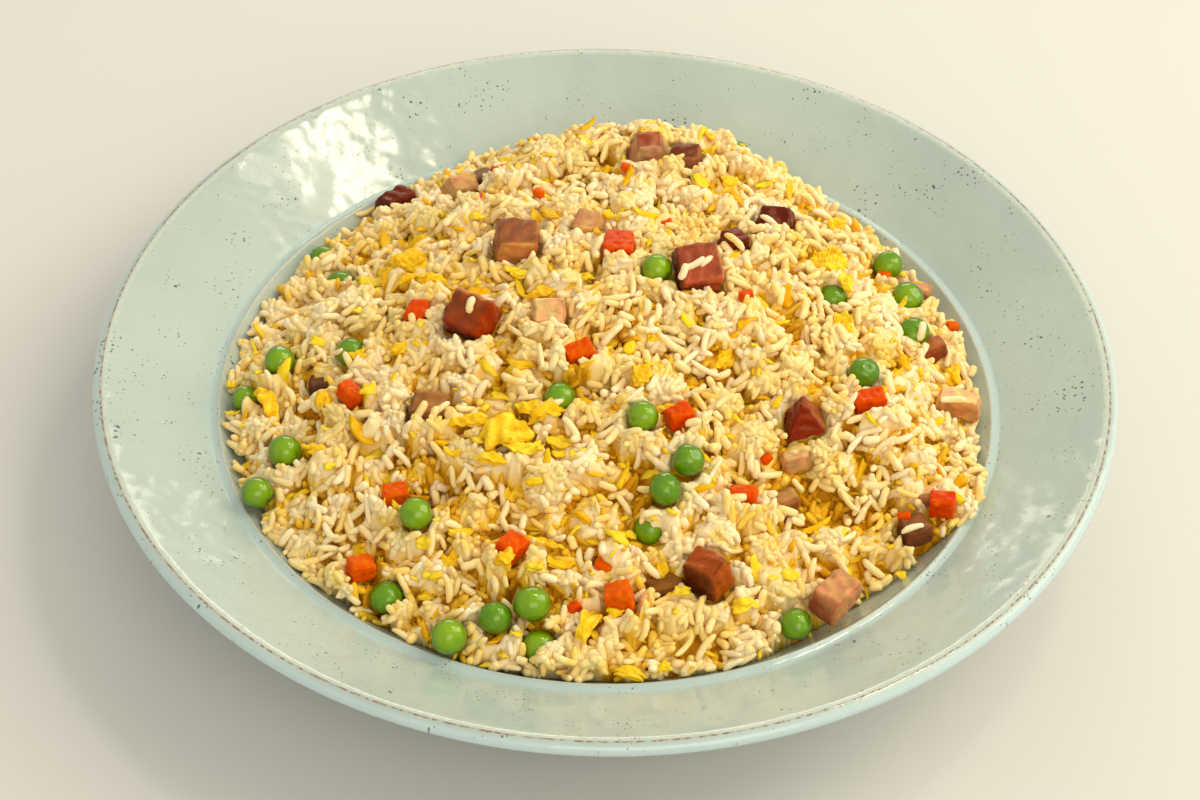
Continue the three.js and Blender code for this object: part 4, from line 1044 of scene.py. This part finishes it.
def grain_tree():
    """Lays one kind of cooked grain at every given place, and makes them real mesh."""
    tree = bpy.data.node_groups.new("laid grains", "GeometryNodeTree")
    face = tree.interface
    face.new_socket(name="Places", in_out="INPUT", socket_type="NodeSocketGeometry")
    for name in ("Length", "Width", "Bend", "Bluntness", "Dents"):
        face.new_socket(name=name, in_out="INPUT", socket_type="NodeSocketFloat")
    face.new_socket(name="Seed", in_out="INPUT", socket_type="NodeSocketInt")
    face.new_socket(name="Material", in_out="INPUT", socket_type="NodeSocketMaterial")
    face.new_socket(name="Grains", in_out="OUTPUT", socket_type="NodeSocketGeometry")
    given = put(tree, "NodeGroupInput").node.outputs
    ball = put(tree, "GeometryNodeMeshUVSphere", {"Segments": 7, "Rings": 6, "Radius": 1.0})
    place = put(tree, "GeometryNodeInputPosition")
    part = put(tree, "ShaderNodeSeparateXYZ", {0: place}).node.outputs
    end = put(tree, MATH, {0: part["Z"], 1: part["Z"]}, operation="MULTIPLY")
    girth = put(tree, MATH, {0: end, 1: given["Bluntness"], 2: 0.5}, operation="MULTIPLY_ADD")
    wide = put(tree, MATH, {0: girth, 1: given["Width"]}, operation="MULTIPLY")
    long = put(tree, MATH, {0: part["Z"], 1: given["Length"]}, operation="MULTIPLY")
    half = put(tree, MATH, {0: long, 1: 0.5}, operation="MULTIPLY")
    bow = put(tree, MATH, {0: end, 1: given["Bend"]}, operation="MULTIPLY")
    across = put(tree, MATH, {0: part["X"], 1: wide, 2: bow}, operation="MULTIPLY_ADD")
    thick = put(tree, MATH, {0: part["Y"], 1: wide}, operation="MULTIPLY")
    formed = put(tree, "ShaderNodeCombineXYZ", {0: half, 1: across, 2: thick})
    dents = put(tree, NOISE, {"Vector": place, "W": given["Seed"], "Scale": 1.6, "Detail": 1.0},
        out="Color", noise_dimensions="4D")
    centred = put(tree, VECTOR, {0: dents, 1: (0.5, 0.5, 0.5)}, operation="SUBTRACT")
    pushed = put(tree, VECTOR, {0: centred, "Scale": given["Dents"]}, operation="SCALE")
    grain = put(tree, "GeometryNodeSetPosition", {"Geometry": ball, "Position": formed, "Offset": pushed})
    turn = put(tree, "GeometryNodeInputNamedAttribute", {"Name": "turn"}, data_type="FLOAT_VECTOR")
    turn = put(tree, "FunctionNodeEulerToRotation", {0: turn})
    size = put(tree, "GeometryNodeInputNamedAttribute", {"Name": "size"}, data_type="FLOAT_VECTOR")
    laid = put(tree, "GeometryNodeInstanceOnPoints", {"Points": given["Places"], "Instance": grain,
        "Rotation": turn, "Scale": size})
    real = put(tree, "GeometryNodeRealizeInstances", {"Geometry": laid})
    smooth = put(tree, "GeometryNodeSetShadeSmooth", {"Geometry": real})
    coloured = put(tree, "GeometryNodeSetMaterial", {"Geometry": smooth, "Material": given["Material"]})
    put(tree, "NodeGroupOutput", {"Grains": coloured})
    return tree


def grown(name, places, turns, sizes, shares, tree, inputs):
    """Runs the tree over places in mm and keeps the result as a plain mesh object."""
    points = bpy.data.meshes.new(name + "_places")
    points.vertices.add(len(places))
    points.vertices.foreach_set("co", (np.asarray(places) * MM).astype(np.float32).ravel())
    for label, values in (("turn", turns), ("size", sizes)):
        float_layer(points, label, values, "FLOAT_VECTOR", "vector")
    for label, values in shares.items():
        float_layer(points, label, values)
    host = in_scene(name + "_host", points)
    modifier = host.modifiers.new("grains", "NODES")
    modifier.node_group = tree
    for item in tree.interface.items_tree:
        if item.item_type == "SOCKET" and item.in_out == "INPUT" and item.name in inputs:
            modifier[item.identifier] = inputs[item.name]
    evaluated = host.evaluated_get(bpy.context.evaluated_depsgraph_get())
    mesh = bpy.data.meshes.new_from_object(evaluated)
    mesh.name = name
    for label in ("turn", "size"):
        if label in mesh.attributes:
            mesh.attributes.remove(mesh.attributes[label])
    host.modifiers.remove(modifier)
    bpy.data.objects.remove(host)
    return carried(in_scene(name, mesh))


def rice_material():
    """Steamed long-grain rice fried in a little oil: translucent, satin, pearly where it is dry, with yellow
    patches of egg and oil; painted shade turns it golden in the crevices and deep orange in the hollows."""
    material, tree, shader = new_material("cooked rice, lightly oiled")
    tone = put(tree, SHARE, out="Fac", attribute_name="tone")
    depth = put(tree, SHARE, out="Fac", attribute_name="depth")
    place = put(tree, "ShaderNodeTexCoord", out="Object")
    body = put(tree, RAMP, {0: tone}, stops=[
        (0.0, RICE["pearl"]), (0.5, RICE["ivory"]), (1.0, RICE["cream"])])
    yolk = put(tree, NOISE, {"Vector": place, "Scale": 170.0, "Detail": 2.0})
    stain = put(tree, SPAN, {"Value": yolk, "From Min": 0.53, "From Max": 0.66, "To Max": 0.6})
    stained = put(tree, MIX, {"Factor": stain, "A": body, "B": linear(RICE["stain"])}, data_type="RGBA")
    soak = put(tree, NOISE, {"Vector": place, "Scale": 62.0, "Detail": 2.0})
    soaked = put(tree, SPAN, {"Value": soak, "From Min": 0.44, "From Max": 0.6, "To Max": 0.55})
    stained = put(tree, MIX, {"Factor": soaked, "A": stained, "B": linear(RICE["oil"])}, data_type="RGBA")
    # painted shade: golden in the crevices, deep orange in the deepest hollows
    golden = put(tree, SPAN, {"Value": depth, "From Min": 0.1, "From Max": 0.7})
    painted_crevice_shade = put(tree, MIX, {"Factor": golden, "A": stained, "B": linear(RICE["gold"])}, data_type="RGBA")
    deepest = put(tree, SPAN, {"Value": depth, "From Min": 0.6, "From Max": 1.0})
    colour = put(tree, MIX, {"Factor": deepest, "A": painted_crevice_shade, "B": linear(RICE["deep"])}, data_type="RGBA")
    fine = put(tree, NOISE, {"Vector": place, "Scale": 1500.0, "Detail": 2.0})
    rough = put(tree, SPAN, {"Value": fine, "To Min": 0.38, "To Max": 0.6})
    bump = put(tree, BUMP, {"Height": fine, "Strength": 0.3, "Distance": 0.00012})
    fill(tree, shader, {"Base Color": colour, "Roughness": rough, "Normal": bump, "Subsurface Weight": 0.4,
        "Subsurface Radius": (1.0, 1.0, 1.0), "Subsurface Scale": 0.0016, "Specular IOR Level": 0.26,
        "IOR": 1.42, "Specular Tint": linear(RICE["gleam"])})
    return material


def make_core(maps, rng, material):
    """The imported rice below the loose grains, with relief finer than a grain."""
    n = CORE_CELLS
    side = np.linspace(-1, 1, n + 1)
    u, v = (grid.ravel() for grid in np.meshgrid(side, side))
    # squares about the centre become circles, so that the cells stay even
    out = np.maximum(np.abs(u), np.abs(v))
    wide = np.abs(u) >= np.abs(v)
    turn = np.where(wide, v / np.where(u == 0, 1, u), u / np.where(v == 0, 1, v)) * math.pi / 4
    angle = np.where(wide, np.where(u < 0, math.pi, 0) + turn, np.where(v < 0, -1, 1) * math.pi / 2 - turn)
    around = 720
    angles = 2 * math.pi * np.arange(around) / around
    reach = np.linspace(60, REACH, 209)
    outline = np.empty(around)
    for i, way in enumerate(angles):
        rows, columns = cells_at(reach * math.cos(way), reach * math.sin(way))
        outline[i] = reach[maps.inside[rows, columns]].max() - CORE_INSET
    radius = out * np.interp(angle % (2 * math.pi), angles, outline, period=2 * math.pi)
    x, y = radius * np.cos(angle), radius * np.sin(angle)
    z = np.maximum(sampled(maps.core, x, y) + 0.06 * ripple(np.stack([x, y, 0 * x], 1), rng, 1.2),
                   plate_top(radius) + 0.3)
    edge = out > 1 - 1e-9
    z[edge] = plate_top(radius[edge]) + 0.15
    # the share of painted shade in the crevices
    depth = maps.depth(x, y)
    points = np.stack([x, y, z], 1)
    corner = (np.arange(n)[:, None] * (n + 1) + np.arange(n)).ravel()
    faces = [np.stack([corner, corner + 1, corner + n + 2], 1),
             np.stack([corner, corner + n + 2, corner + n + 1], 1)]
    # closed underneath by one more ring on the plate and a middle point
    loop = np.concatenate([np.arange(n), np.arange(n) * (n + 1) + n,
                           (n + 1) * n + n - np.arange(n), (n - np.arange(n)) * (n + 1)])
    under = points[loop] * (0.75, 0.75, 1)
    under[:, 2] = plate_top(np.hypot(under[:, 0], under[:, 1])) + 0.15
    first, here = len(points), np.arange(len(loop))
    after = (here + 1) % len(loop)
    points = np.concatenate([points, under, [(0, 0, FLOOR_HEIGHT + 0.15)]])
    faces.append(np.stack([loop[here], first + here, loop[after]], 1))
    faces.append(np.stack([first + here, first + after, loop[after]], 1))
    faces.append(np.stack([first + here, np.full(len(loop), len(points) - 1), first + after], 1))
    depth = np.concatenate([depth, np.ones(len(loop) + 1)])
    piece = mesh_piece("rice_core", points, np.concatenate(faces), material, {
        "depth": depth, "tone": np.full(len(points), 0.35)})
    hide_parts("fried_rice")


def make_rice(maps, rng, material):
    """All the loose grains, one piece for each kind."""
    laid = clump_grains(maps, rng, LOOSE_SHARE)
    laid += side_grains(maps, rng, SIDE_COUNT)
    laid += drop_grains(maps, rng, FILL_LIMIT, 30000, 3.2)
    laid += drop_grains(maps, rng, LOOSE_COUNT, 4000, -0.6)
    for node, across, upward, turn, kind in TOP_GRAINS:
        girth, turn = GRAIN_HALVES[kind][1], math.radians(turn)
        place = maps.front.on_face(node, across, upward)
        place += np.array((0, -VIEW_UP[1], VIEW_UP[0])) * girth * 0.75
        axis = (math.cos(turn), math.sin(turn) * VIEW_UP[0], math.sin(turn) * VIEW_UP[1])
        place[2] = min(place[2], HEAP_TOP - GRAIN_HALVES[kind][0] * abs(axis[2]) - girth)
        laid.append((*place, math.atan2(axis[1], axis[0]), math.asin(axis[2]), kind, 1.0, 1.0, 0.1))
    laid = np.array(laid)
    tree = grain_tree()
    for index, (name, length, width, bend, blunt, _) in enumerate(GRAIN_KINDS):
        mine = laid[laid[:, 5] == index]
        x, y, z, heading, lean = mine[:, :5].T
        # grains in the crevices get painted shade, less the higher they stand above the core
        above = np.maximum(z - sampled(maps.core, x, y) - 0.5, 0)
        depth = np.clip(maps.depth(x, y) - 0.5 * above + rng.normal(0, 0.1, len(mine)), 0, 1)
        roll = rng.uniform(0, 2 * math.pi, len(mine))
        turns = np.stack([roll, -lean, heading], 1)
        sizes = np.stack([mine[:, 6], mine[:, 7], mine[:, 7]], 1)
        tone = np.clip(mine[:, 8] + rng.normal(0, 0.07, len(mine)), 0, 1)
        grown(name, np.stack([x, y, z], 1), turns, sizes, {"tone": tone, "depth": depth}, tree,
              {"Length": length * MM, "Width": width * MM, "Bend": bend * MM, "Bluntness": blunt,
               "Dents": 0.55 * MM, "Seed": 3 + index, "Material": material})


# ---------------------------------------------------------------- peas, carrot, pork and egg
class Shape:
    """Points in mm and triangles, ready to be given their relief."""

    def __init__(self, points, faces, middle):
        self.points, self.faces, self.middle = points, faces, middle

    def smooth(self, rounds, share=0.6):
        """Draws every point towards the middle of its neighbours."""
        ends = np.concatenate([self.faces[:, [0, 1]], self.faces[:, [1, 2]], self.faces[:, [2, 0]]])
        ends = np.concatenate([ends, ends[:, ::-1]])
        count = np.bincount(ends[:, 0], minlength=len(self.points))
        for _ in range(rounds):
            near = [np.bincount(ends[:, 0], self.points[ends[:, 1], k], len(self.points)) for k in range(3)]
            self.points += share * (np.stack(near, 1) / count[:, None] - self.points)

    def normals(self):
        a, b, c = (self.points[self.faces[:, k]] for k in range(3))
        flat = np.cross(b - a, c - a)
        total = np.zeros_like(self.points)
        for k in range(3):
            for axis in range(3):
                total[:, axis] += np.bincount(self.faces[:, k], flat[:, axis], len(self.points))
        return total / np.maximum(np.linalg.norm(total, axis=1), 1e-9)[:, None]

    def push(self, relief):
        """Moves every point along its normal."""
        self.points += self.normals() * relief[:, None]


def rounded_copy(node, voxel, rounds):
    """A fine, softly rounded copy of a CAD solid."""
    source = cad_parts[node].data.copy()
    work = bmesh.new()
    work.from_mesh(source)
    bmesh.ops.remove_doubles(work, verts=work.verts, dist=1e-6)
    work.to_mesh(source)
    work.free()
    host = in_scene("being_rounded", source)
    modifier = host.modifiers.new("even mesh", "REMESH")
    modifier.mode = "VOXEL"
    modifier.voxel_size = voxel * MM
    evaluated = host.evaluated_get(bpy.context.evaluated_depsgraph_get())
    even = bpy.data.meshes.new_from_object(evaluated)
    bpy.data.objects.remove(host)
    bpy.data.meshes.remove(source)
    points, faces = arrays_of(even)
    bpy.data.meshes.remove(even)
    points = points.astype(float)
    copy = Shape(points, faces, (points.min(0) + points.max(0)) / 2)
    copy.smooth(rounds)
    return copy


def dice_shape(size, corners, level):
    """A loose dice with soft edges, about its own middle; a lower corner power gives sharper edges."""
    ball, faces = unit_ball(level)
    return np.sign(ball) * np.abs(ball) ** corners * np.array(size), faces


def numbered(stem):
    return [f"{stem}_{index:02d}" for index in range(1, TOPPING_COUNTS[stem] + 1)]


def wrinkled_ball(rng, diameter, level, folds):
    """A boiled pea: nearly round, with a few shallow dents and a puckered skin."""
    ball, faces = unit_ball(level)
    swell = 0.02 * ripple(ball, rng, 2.6)
    for _ in range(folds):
        middle = rng.normal(size=3)
        middle /= np.linalg.norm(middle)
        away = np.linalg.norm(ball - middle, axis=1)
        swell -= rng.uniform(0.03, 0.1) * np.exp(-(away / rng.uniform(0.2, 0.42)) ** 2)
    pucker = ripple(ball, rng, 0.55) * np.clip(ripple(ball, rng, 1.9), 0, 1)
    swell += 0.026 * pucker
    # how deep each dent is, for the painted shade in it
    crease = np.clip(-swell * 9, 0, 1)
    squash = 1 - rng.uniform(0.0, 0.05, 3)
    return ball * squash * (0.985 + np.minimum(swell, 0.015))[:, None] * diameter / 2, faces, crease


def make_peas(maps, rng):
    heap = Heap()
    for node in numbered("pea"):
        low, high = (np.array(corner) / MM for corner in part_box(node))
        points, faces, crease = wrinkled_ball(rng, (high - low).max() * 1.05, 4, 6)
        heap.add(points + (low + high) / 2, faces, {"crease": crease, "tint": rng.uniform(0, 1)})
    for x, y, diameter, drop in SUNKEN_PEAS:
        points, faces, crease = wrinkled_ball(rng, diameter, 3, 4)
        centre = (x, y, maps.surface[cells_at(x, y)] - drop)
        maps.block(points + centre)
        heap.add(points + centre, faces, {"crease": crease, "tint": rng.uniform(0, 1)})
    piece = heap.piece("green_peas", pea_material(), "green_pea")
    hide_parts(*numbered("pea"))


def pea_material():
    """Boiled garden peas: a thin glossy skin over soft green flesh, paler where it wrinkles, with painted
    shade in the dents and towards the edges as seen.
    """
    material, tree, shader = new_material("boiled green pea skin")
    tint = put(tree, SHARE, out="Fac", attribute_name="tint")
    crease = put(tree, SHARE, out="Fac", attribute_name="crease")
    place = put(tree, "ShaderNodeTexCoord", out="Object")
    base = put(tree, RAMP, {0: tint}, stops=[(0.0, PEA["dark"]), (1.0, PEA["bright"])])
    mottle = put(tree, NOISE, {"Vector": place, "Scale": 520.0, "Detail": 3.0})
    pale = put(tree, SPAN, {"Value": mottle, "From Min": 0.5, "From Max": 0.8, "To Max": 0.3})
    mixed = put(tree, MIX, {"Factor": pale, "A": base, "B": linear(PEA["pale"])}, data_type="RGBA")
    # painted shade in the dents
    dark = put(tree, MATH, {0: crease, 1: 0.45}, operation="MULTIPLY")
    dent_shaded = put(tree, MIX, {"Factor": dark, "A": mixed, "B": linear(PEA["crease"])}, data_type="RGBA")
    # painted shade where the skin turns away from the eye
    aslant = put(tree, "ShaderNodeLayerWeight", {"Blend": 0.3}, out="Facing")
    edge = put(tree, SPAN, {"Value": aslant, "From Min": 0.1, "From Max": 0.7, "To Max": 0.9})
    colour = put(tree, MIX, {"Factor": edge, "A": dent_shaded, "B": linear(PEA["rim"])}, data_type="RGBA")
    bump = put(tree, BUMP, {"Height": mottle, "Strength": 0.4, "Distance": 0.0001})
    fill(tree, shader, {"Base Color": colour, "Normal": bump, "Roughness": 0.2, "Specular IOR Level": 0.1,
        "Specular Tint": linear(PEA["gleam"]), "Subsurface Weight": 0.06,
        "Subsurface Radius": (0.5, 1.0, 0.2), "Subsurface Scale": 0.0015,
        "Coat Weight": 0.8, "Coat Roughness": 0.04, "Coat IOR": 1.55})
    return material


def make_carrots(maps, rng):
    heap = Heap()
    for node in numbered("carrot"):
        dice = rounded_copy(node, 0.34, 7)
        dice.push(0.14 * ripple(dice.points, rng, 2.4) + 0.04 * ripple(dice.points, rng, 0.8))
        tint = np.clip(rng.uniform(0.15, 0.85) + 0.18 * ripple(dice.points, rng, 3.5), 0, 1)
        heap.add(dice.points, dice.faces, {"tint": tint})
    for x, y, rise, size, heading in CARROT_SCRAPS:
        points, faces = dice_shape(np.array(size) * 0.46, 0.42, 3)
        points = turned(points + 0.12 * ripple(points, rng, 2.2)[:, None], heading, rng.uniform(-25, 25))
        centre = (x, y, maps.surface[cells_at(x, y)] + rise)
        maps.block(points + centre)
        heap.add(points + centre, faces, {"tint": rng.uniform(0.1, 0.8)})
    piece = heap.piece("diced_carrot", carrot_material(), "carrot")
    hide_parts(*numbered("carrot"))


def carrot_material():
    """Diced boiled carrot: wet, soft and translucent, streaked lighter along its rings."""
    material, tree, shader = new_material("boiled diced carrot")
    tint = put(tree, SHARE, out="Fac", attribute_name="tint")
    place = put(tree, "ShaderNodeTexCoord", out="Object")
    base = put(tree, RAMP, {0: tint}, stops=[
        (0.0, CARROT["deep"]), (0.5, CARROT["middle"]), (1.0, CARROT["bright"])])
    streak = put(tree, NOISE, {"Vector": place, "Scale": 420.0, "Detail": 3.0, "Distortion": 0.6})
    light = put(tree, SPAN, {"Value": streak, "From Min": 0.52, "From Max": 0.8, "To Max": 0.5})
    colour = put(tree, MIX, {"Factor": light, "A": base, "B": linear(CARROT["fibre"])}, data_type="RGBA")
    bump = put(tree, BUMP, {"Height": streak, "Strength": 0.5, "Distance": 0.0002})
    fill(tree, shader, {"Base Color": colour, "Normal": bump, "Roughness": 0.3, "Specular IOR Level": 0.14,
        "Specular Tint": linear(CARROT["gleam"]), "Subsurface Weight": 0.3,
        "Subsurface Radius": (1.0, 0.3, 0.08), "Subsurface Scale": 0.0022})
    return material


def make_pork(maps, rng):
    """Each dice has its own colours on the faces that look up, to the front, right and left: crust or cut
    flesh, with painted light and shade.
    """
    heap = Heap()
    sides = np.array([(0, 0.35, 0.94), (0, -0.9, 0.44), (0.94, -0.25, 0.2), (-0.94, -0.25, 0.2)])
    rows = [(node, *look) for node, look in zip(numbered("pork"), PORK_LOOKS)]
    for node, fibre, gloss, *colours in rows:
        dice = rounded_copy(node, 0.42, 6)
        colour_dice(heap, dice, rng, sides, fibre, gloss, colours)
    for x, y, rise, size, heading, gloss, top, front in PORK_SCRAPS:
        points, faces = dice_shape(np.array(size) / 2, 0.5, 4)
        points = turned(points, heading, 12) + (x, y, maps.surface[cells_at(x, y)] + rise)
        dice = Shape(points, faces, points.mean(0))
        maps.block(points)
        # the sides take the front's darker colour, as painted shade
        colour_dice(heap, dice, rng, sides, heading, gloss, (top, front, front, front))
    piece = heap.piece("roast_pork", pork_material(), "roast_pork")
    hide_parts(*numbered("pork"))


def colour_dice(heap, dice, rng, sides, fibre, gloss, colours):
    """Torn fibres and uneven faces, and a colour for each way a face looks, which holds painted light and
    shade as well as crust and flesh.
    """
    local = turned(dice.points - dice.middle, -fibre)
    strands = local * (0.12, 1.0, 1.0)
    facing = dice.normals() @ sides.T + 0.1 * ripple(dice.points, rng, 4.0)[:, None]
    dice.push(0.3 * ripple(dice.points, rng, 4.0) + 0.07 * ripple(strands, rng, 1.1))
    dice.points[:, 2] = np.minimum(dice.points[:, 2], PORK_TOP)
    # each face's colour by the way it looks: crust and flesh with painted light and shade
    share = np.exp(facing * FACE_SHARPNESS)
    share /= share.sum(1, keepdims=True)
    rim = 1 - share.max(1, keepdims=True)
    paint = share @ np.array([linear(colour) for colour in colours])
    flesh = np.clip(0.5 + 0.5 * ripple(dice.points, rng, 4.5), 0, 1)[:, None]
    paint[:, :3] *= (1 - rim * RIM_DARKENING) * (1 - flesh * FLESH_BLUSH) * PORK_TINT
    shine = share @ np.array([*gloss])
    heap.add(dice.points, dice.faces, {"shine": shine, "strand_x": strands[:, 0], "strand_y": strands[:, 1],
                                       "strand_z": strands[:, 2]}, {"paint": paint})


def pork_material():
    """Diced roast pork: fine fibres across pale cut faces, and a dark lacquered crust; painted light and
    shade in each face's colour.
    """
    material, tree, shader = new_material("diced roast pork")
    paint = put(tree, SHARE, attribute_name="paint")
    shine = put(tree, SHARE, out="Fac", attribute_name="shine")
    axes = [put(tree, SHARE, out="Fac", attribute_name="strand_" + axis) for axis in "xyz"]
    along = put(tree, "ShaderNodeCombineXYZ", {0: axes[0], 1: axes[1], 2: axes[2]})
    place = put(tree, "ShaderNodeTexCoord", out="Object")
    fibre = put(tree, NOISE, {"Vector": along, "Scale": 3.6, "Detail": 4.0})
    blotch = put(tree, NOISE, {"Vector": place, "Scale": 330.0, "Detail": 3.0})
    both = put(tree, MATH, {0: fibre, 1: 0.5, 2: blotch}, operation="MULTIPLY_ADD")
    value = put(tree, SPAN, {"Value": both, "From Min": 0.5, "From Max": 1.0, "To Min": 0.7,
        "To Max": 1.26})
    toned = put(tree, VECTOR, {0: paint, "Scale": value}, operation="SCALE")
    rough = put(tree, SPAN, {"Value": shine, "To Min": 0.55, "To Max": 0.16})
    bump = put(tree, BUMP, {"Height": both, "Strength": 0.4, "Distance": 0.0003})
    fill(tree, shader, {"Base Color": toned, "Roughness": rough, "Normal": bump, "Specular IOR Level": 0.3,
        "Specular Tint": linear(PORK_GLEAM), "Subsurface Weight": 0.15,
        "Subsurface Radius": (1.0, 0.4, 0.25), "Subsurface Scale": 0.001})
    return material


def egg_scrap(rng, size, level, torn):
    """A torn crumb of scrambled egg: folded, pitted and never round."""
    ball, faces = unit_ball(level)
    bend = rng.uniform(-0.8, 0.8)
    lumps = 1 + 0.42 * ripple(ball, rng, 1.7) + torn * ripple(ball, rng, 0.8)
    points = np.sign(ball) * np.abs(ball) ** 0.85 * np.clip(lumps, 0.25, 1.7)[:, None] * np.array(size) / 2
    points[:, 2] += bend * points[:, 0] ** 2 / max(size[0], 1)
    points[:, 2] += 0.3 * size[2] * ripple(points * (1, 1, 0), rng, 2.4)
    return points, faces


def make_egg(maps, rng):
    curds, scraps, shreds, crumbs = Heap(), Heap(), Heap(), Heap()
    for node, (fold, width, pores) in zip(numbered("egg"), EGG_LOOKS):
        curd = rounded_copy(node, 0.3, 5)
        folds = ripple(curd.points, rng, width)
        curd.push(fold * folds + pores * ripple(curd.points, rng, 1.0))
        # painted shade: deeper yellow in the hollows of the folds, brighter on their crests
        curds.add(curd.points, curd.faces, {"tint": np.clip(0.45 - 0.35 * folds, 0, 1)})
    piece = curds.piece("egg_curds", egg_material("soft scrambled egg curd"), "scrambled_egg")
    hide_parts(*numbered("egg"))
    for x, y, across, high in EGG_BITS:
        size = (max(across, 2.2) * 1.15, max(high * 0.9, 2.2) * 1.1, max(min(high * 0.6, 2.4), 1.4))
        points, faces = egg_scrap(rng, size, 4 if across + high > 8 else 3, 0.2)
        points = turned(points, rng.uniform(-15, 15), rng.uniform(-12, 12))
        row, column = cells_at(x, y)
        reach = max(int(across / 2 / CELL), 1)
        around = maps.pile[row - reach:row + reach + 1, column - reach:column + reach + 1]
        centre = (x, y, np.percentile(around, 80) + 0.8 - size[2] * 0.1)
        maps.block(points + centre, clear=True)
        scraps.add(points + centre, faces, {"tint": rng.uniform(0.1, 0.7)})
    drift = ripple_map(rng, *EGG_DRIFTS)
    rows, columns = np.nonzero(maps.inside & (maps.surface - maps.plate > 2.5) & (drift > EGG_DRIFT_EDGE))
    for count in range(SHRED_COUNT + CRUMB_COUNT):
        pick = rng.integers(len(rows))
        x, y = AXIS[columns[pick]], AXIS[rows[pick]]
        shred = count < SHRED_COUNT
        length = rng.uniform(*(SHRED_LENGTHS if shred else CRUMB_LENGTHS))
        size = length * np.array([1.2, rng.uniform(0.26, 0.62), rng.uniform(0.13, 0.28)])
        points, faces = egg_scrap(rng, size, 2, 0.3)
        points = turned(points, rng.uniform(0, 360), rng.uniform(-50, 50))
        centre = (x, y, maps.pile[cells_at(x, y)] + rng.uniform(-0.3, 0.9))
        if not maps.keeps_off(np.array(centre), np.array((1.0, 0, 0)), size[0] / 2, size[2] / 2):
            continue
        if centre[2] + points[:, 2].max() > HEAP_TOP:
            continue
        maps.block(points + centre)
        (shreds if shred else crumbs).add(points + centre, faces, {"tint": rng.uniform(0.0, 1.0)})
    torn = egg_material("torn scrambled egg")
    for name, kind in (("egg_scraps", scraps), ("egg_shreds", shreds), ("egg_crumbs", crumbs)):
        kind.piece(name, torn, "scrambled_egg")


def egg_material(name):
    """Scrambled egg: soft, moist and porous; painted shade makes it deeper yellow in the hollows of the
    curds' folds.
    """
    material, tree, shader = new_material(name)
    tint = put(tree, SHARE, out="Fac", attribute_name="tint")
    place = put(tree, "ShaderNodeTexCoord", out="Object")
    base = put(tree, RAMP, {0: tint}, stops=[
        (0.0, EGG["bright"]), (0.5, EGG["middle"]), (1.0, EGG["deep"])])
    foam = put(tree, "ShaderNodeTexVoronoi", {"Vector": place, "Scale": 900.0})
    noise = put(tree, NOISE, {"Vector": place, "Scale": 450.0, "Detail": 3.0})
    pale = put(tree, SPAN, {"Value": noise, "From Min": 0.5, "From Max": 0.75, "To Max": 0.5})
    colour = put(tree, MIX, {"Factor": pale, "A": base, "B": linear(EGG["foam"])}, data_type="RGBA")
    relief = put(tree, MATH, {0: foam, 1: noise}, operation="ADD")
    bump = put(tree, BUMP, {"Height": relief, "Strength": 0.5, "Distance": 0.0003})
    fill(tree, shader, {"Base Color": colour, "Normal": bump, "Roughness": 0.4, "Specular IOR Level": 0.3,
        "Specular Tint": linear(EGG["gleam"]), "Subsurface Weight": 0.35,
        "Subsurface Radius": (1.0, 0.7, 0.1), "Subsurface Scale": 0.0015})
    return material


# ---------------------------------------------------------------- run
make_camera()
make_stage()
make_plate()
random = np.random.default_rng(RANDOM_SEED)
rice_maps = RiceMaps(random)
rice = rice_material()
make_core(rice_maps, random, rice)
make_peas(rice_maps, random)
make_carrots(rice_maps, random)
make_pork(rice_maps, random)
make_egg(rice_maps, random)
make_rice(rice_maps, random, rice)
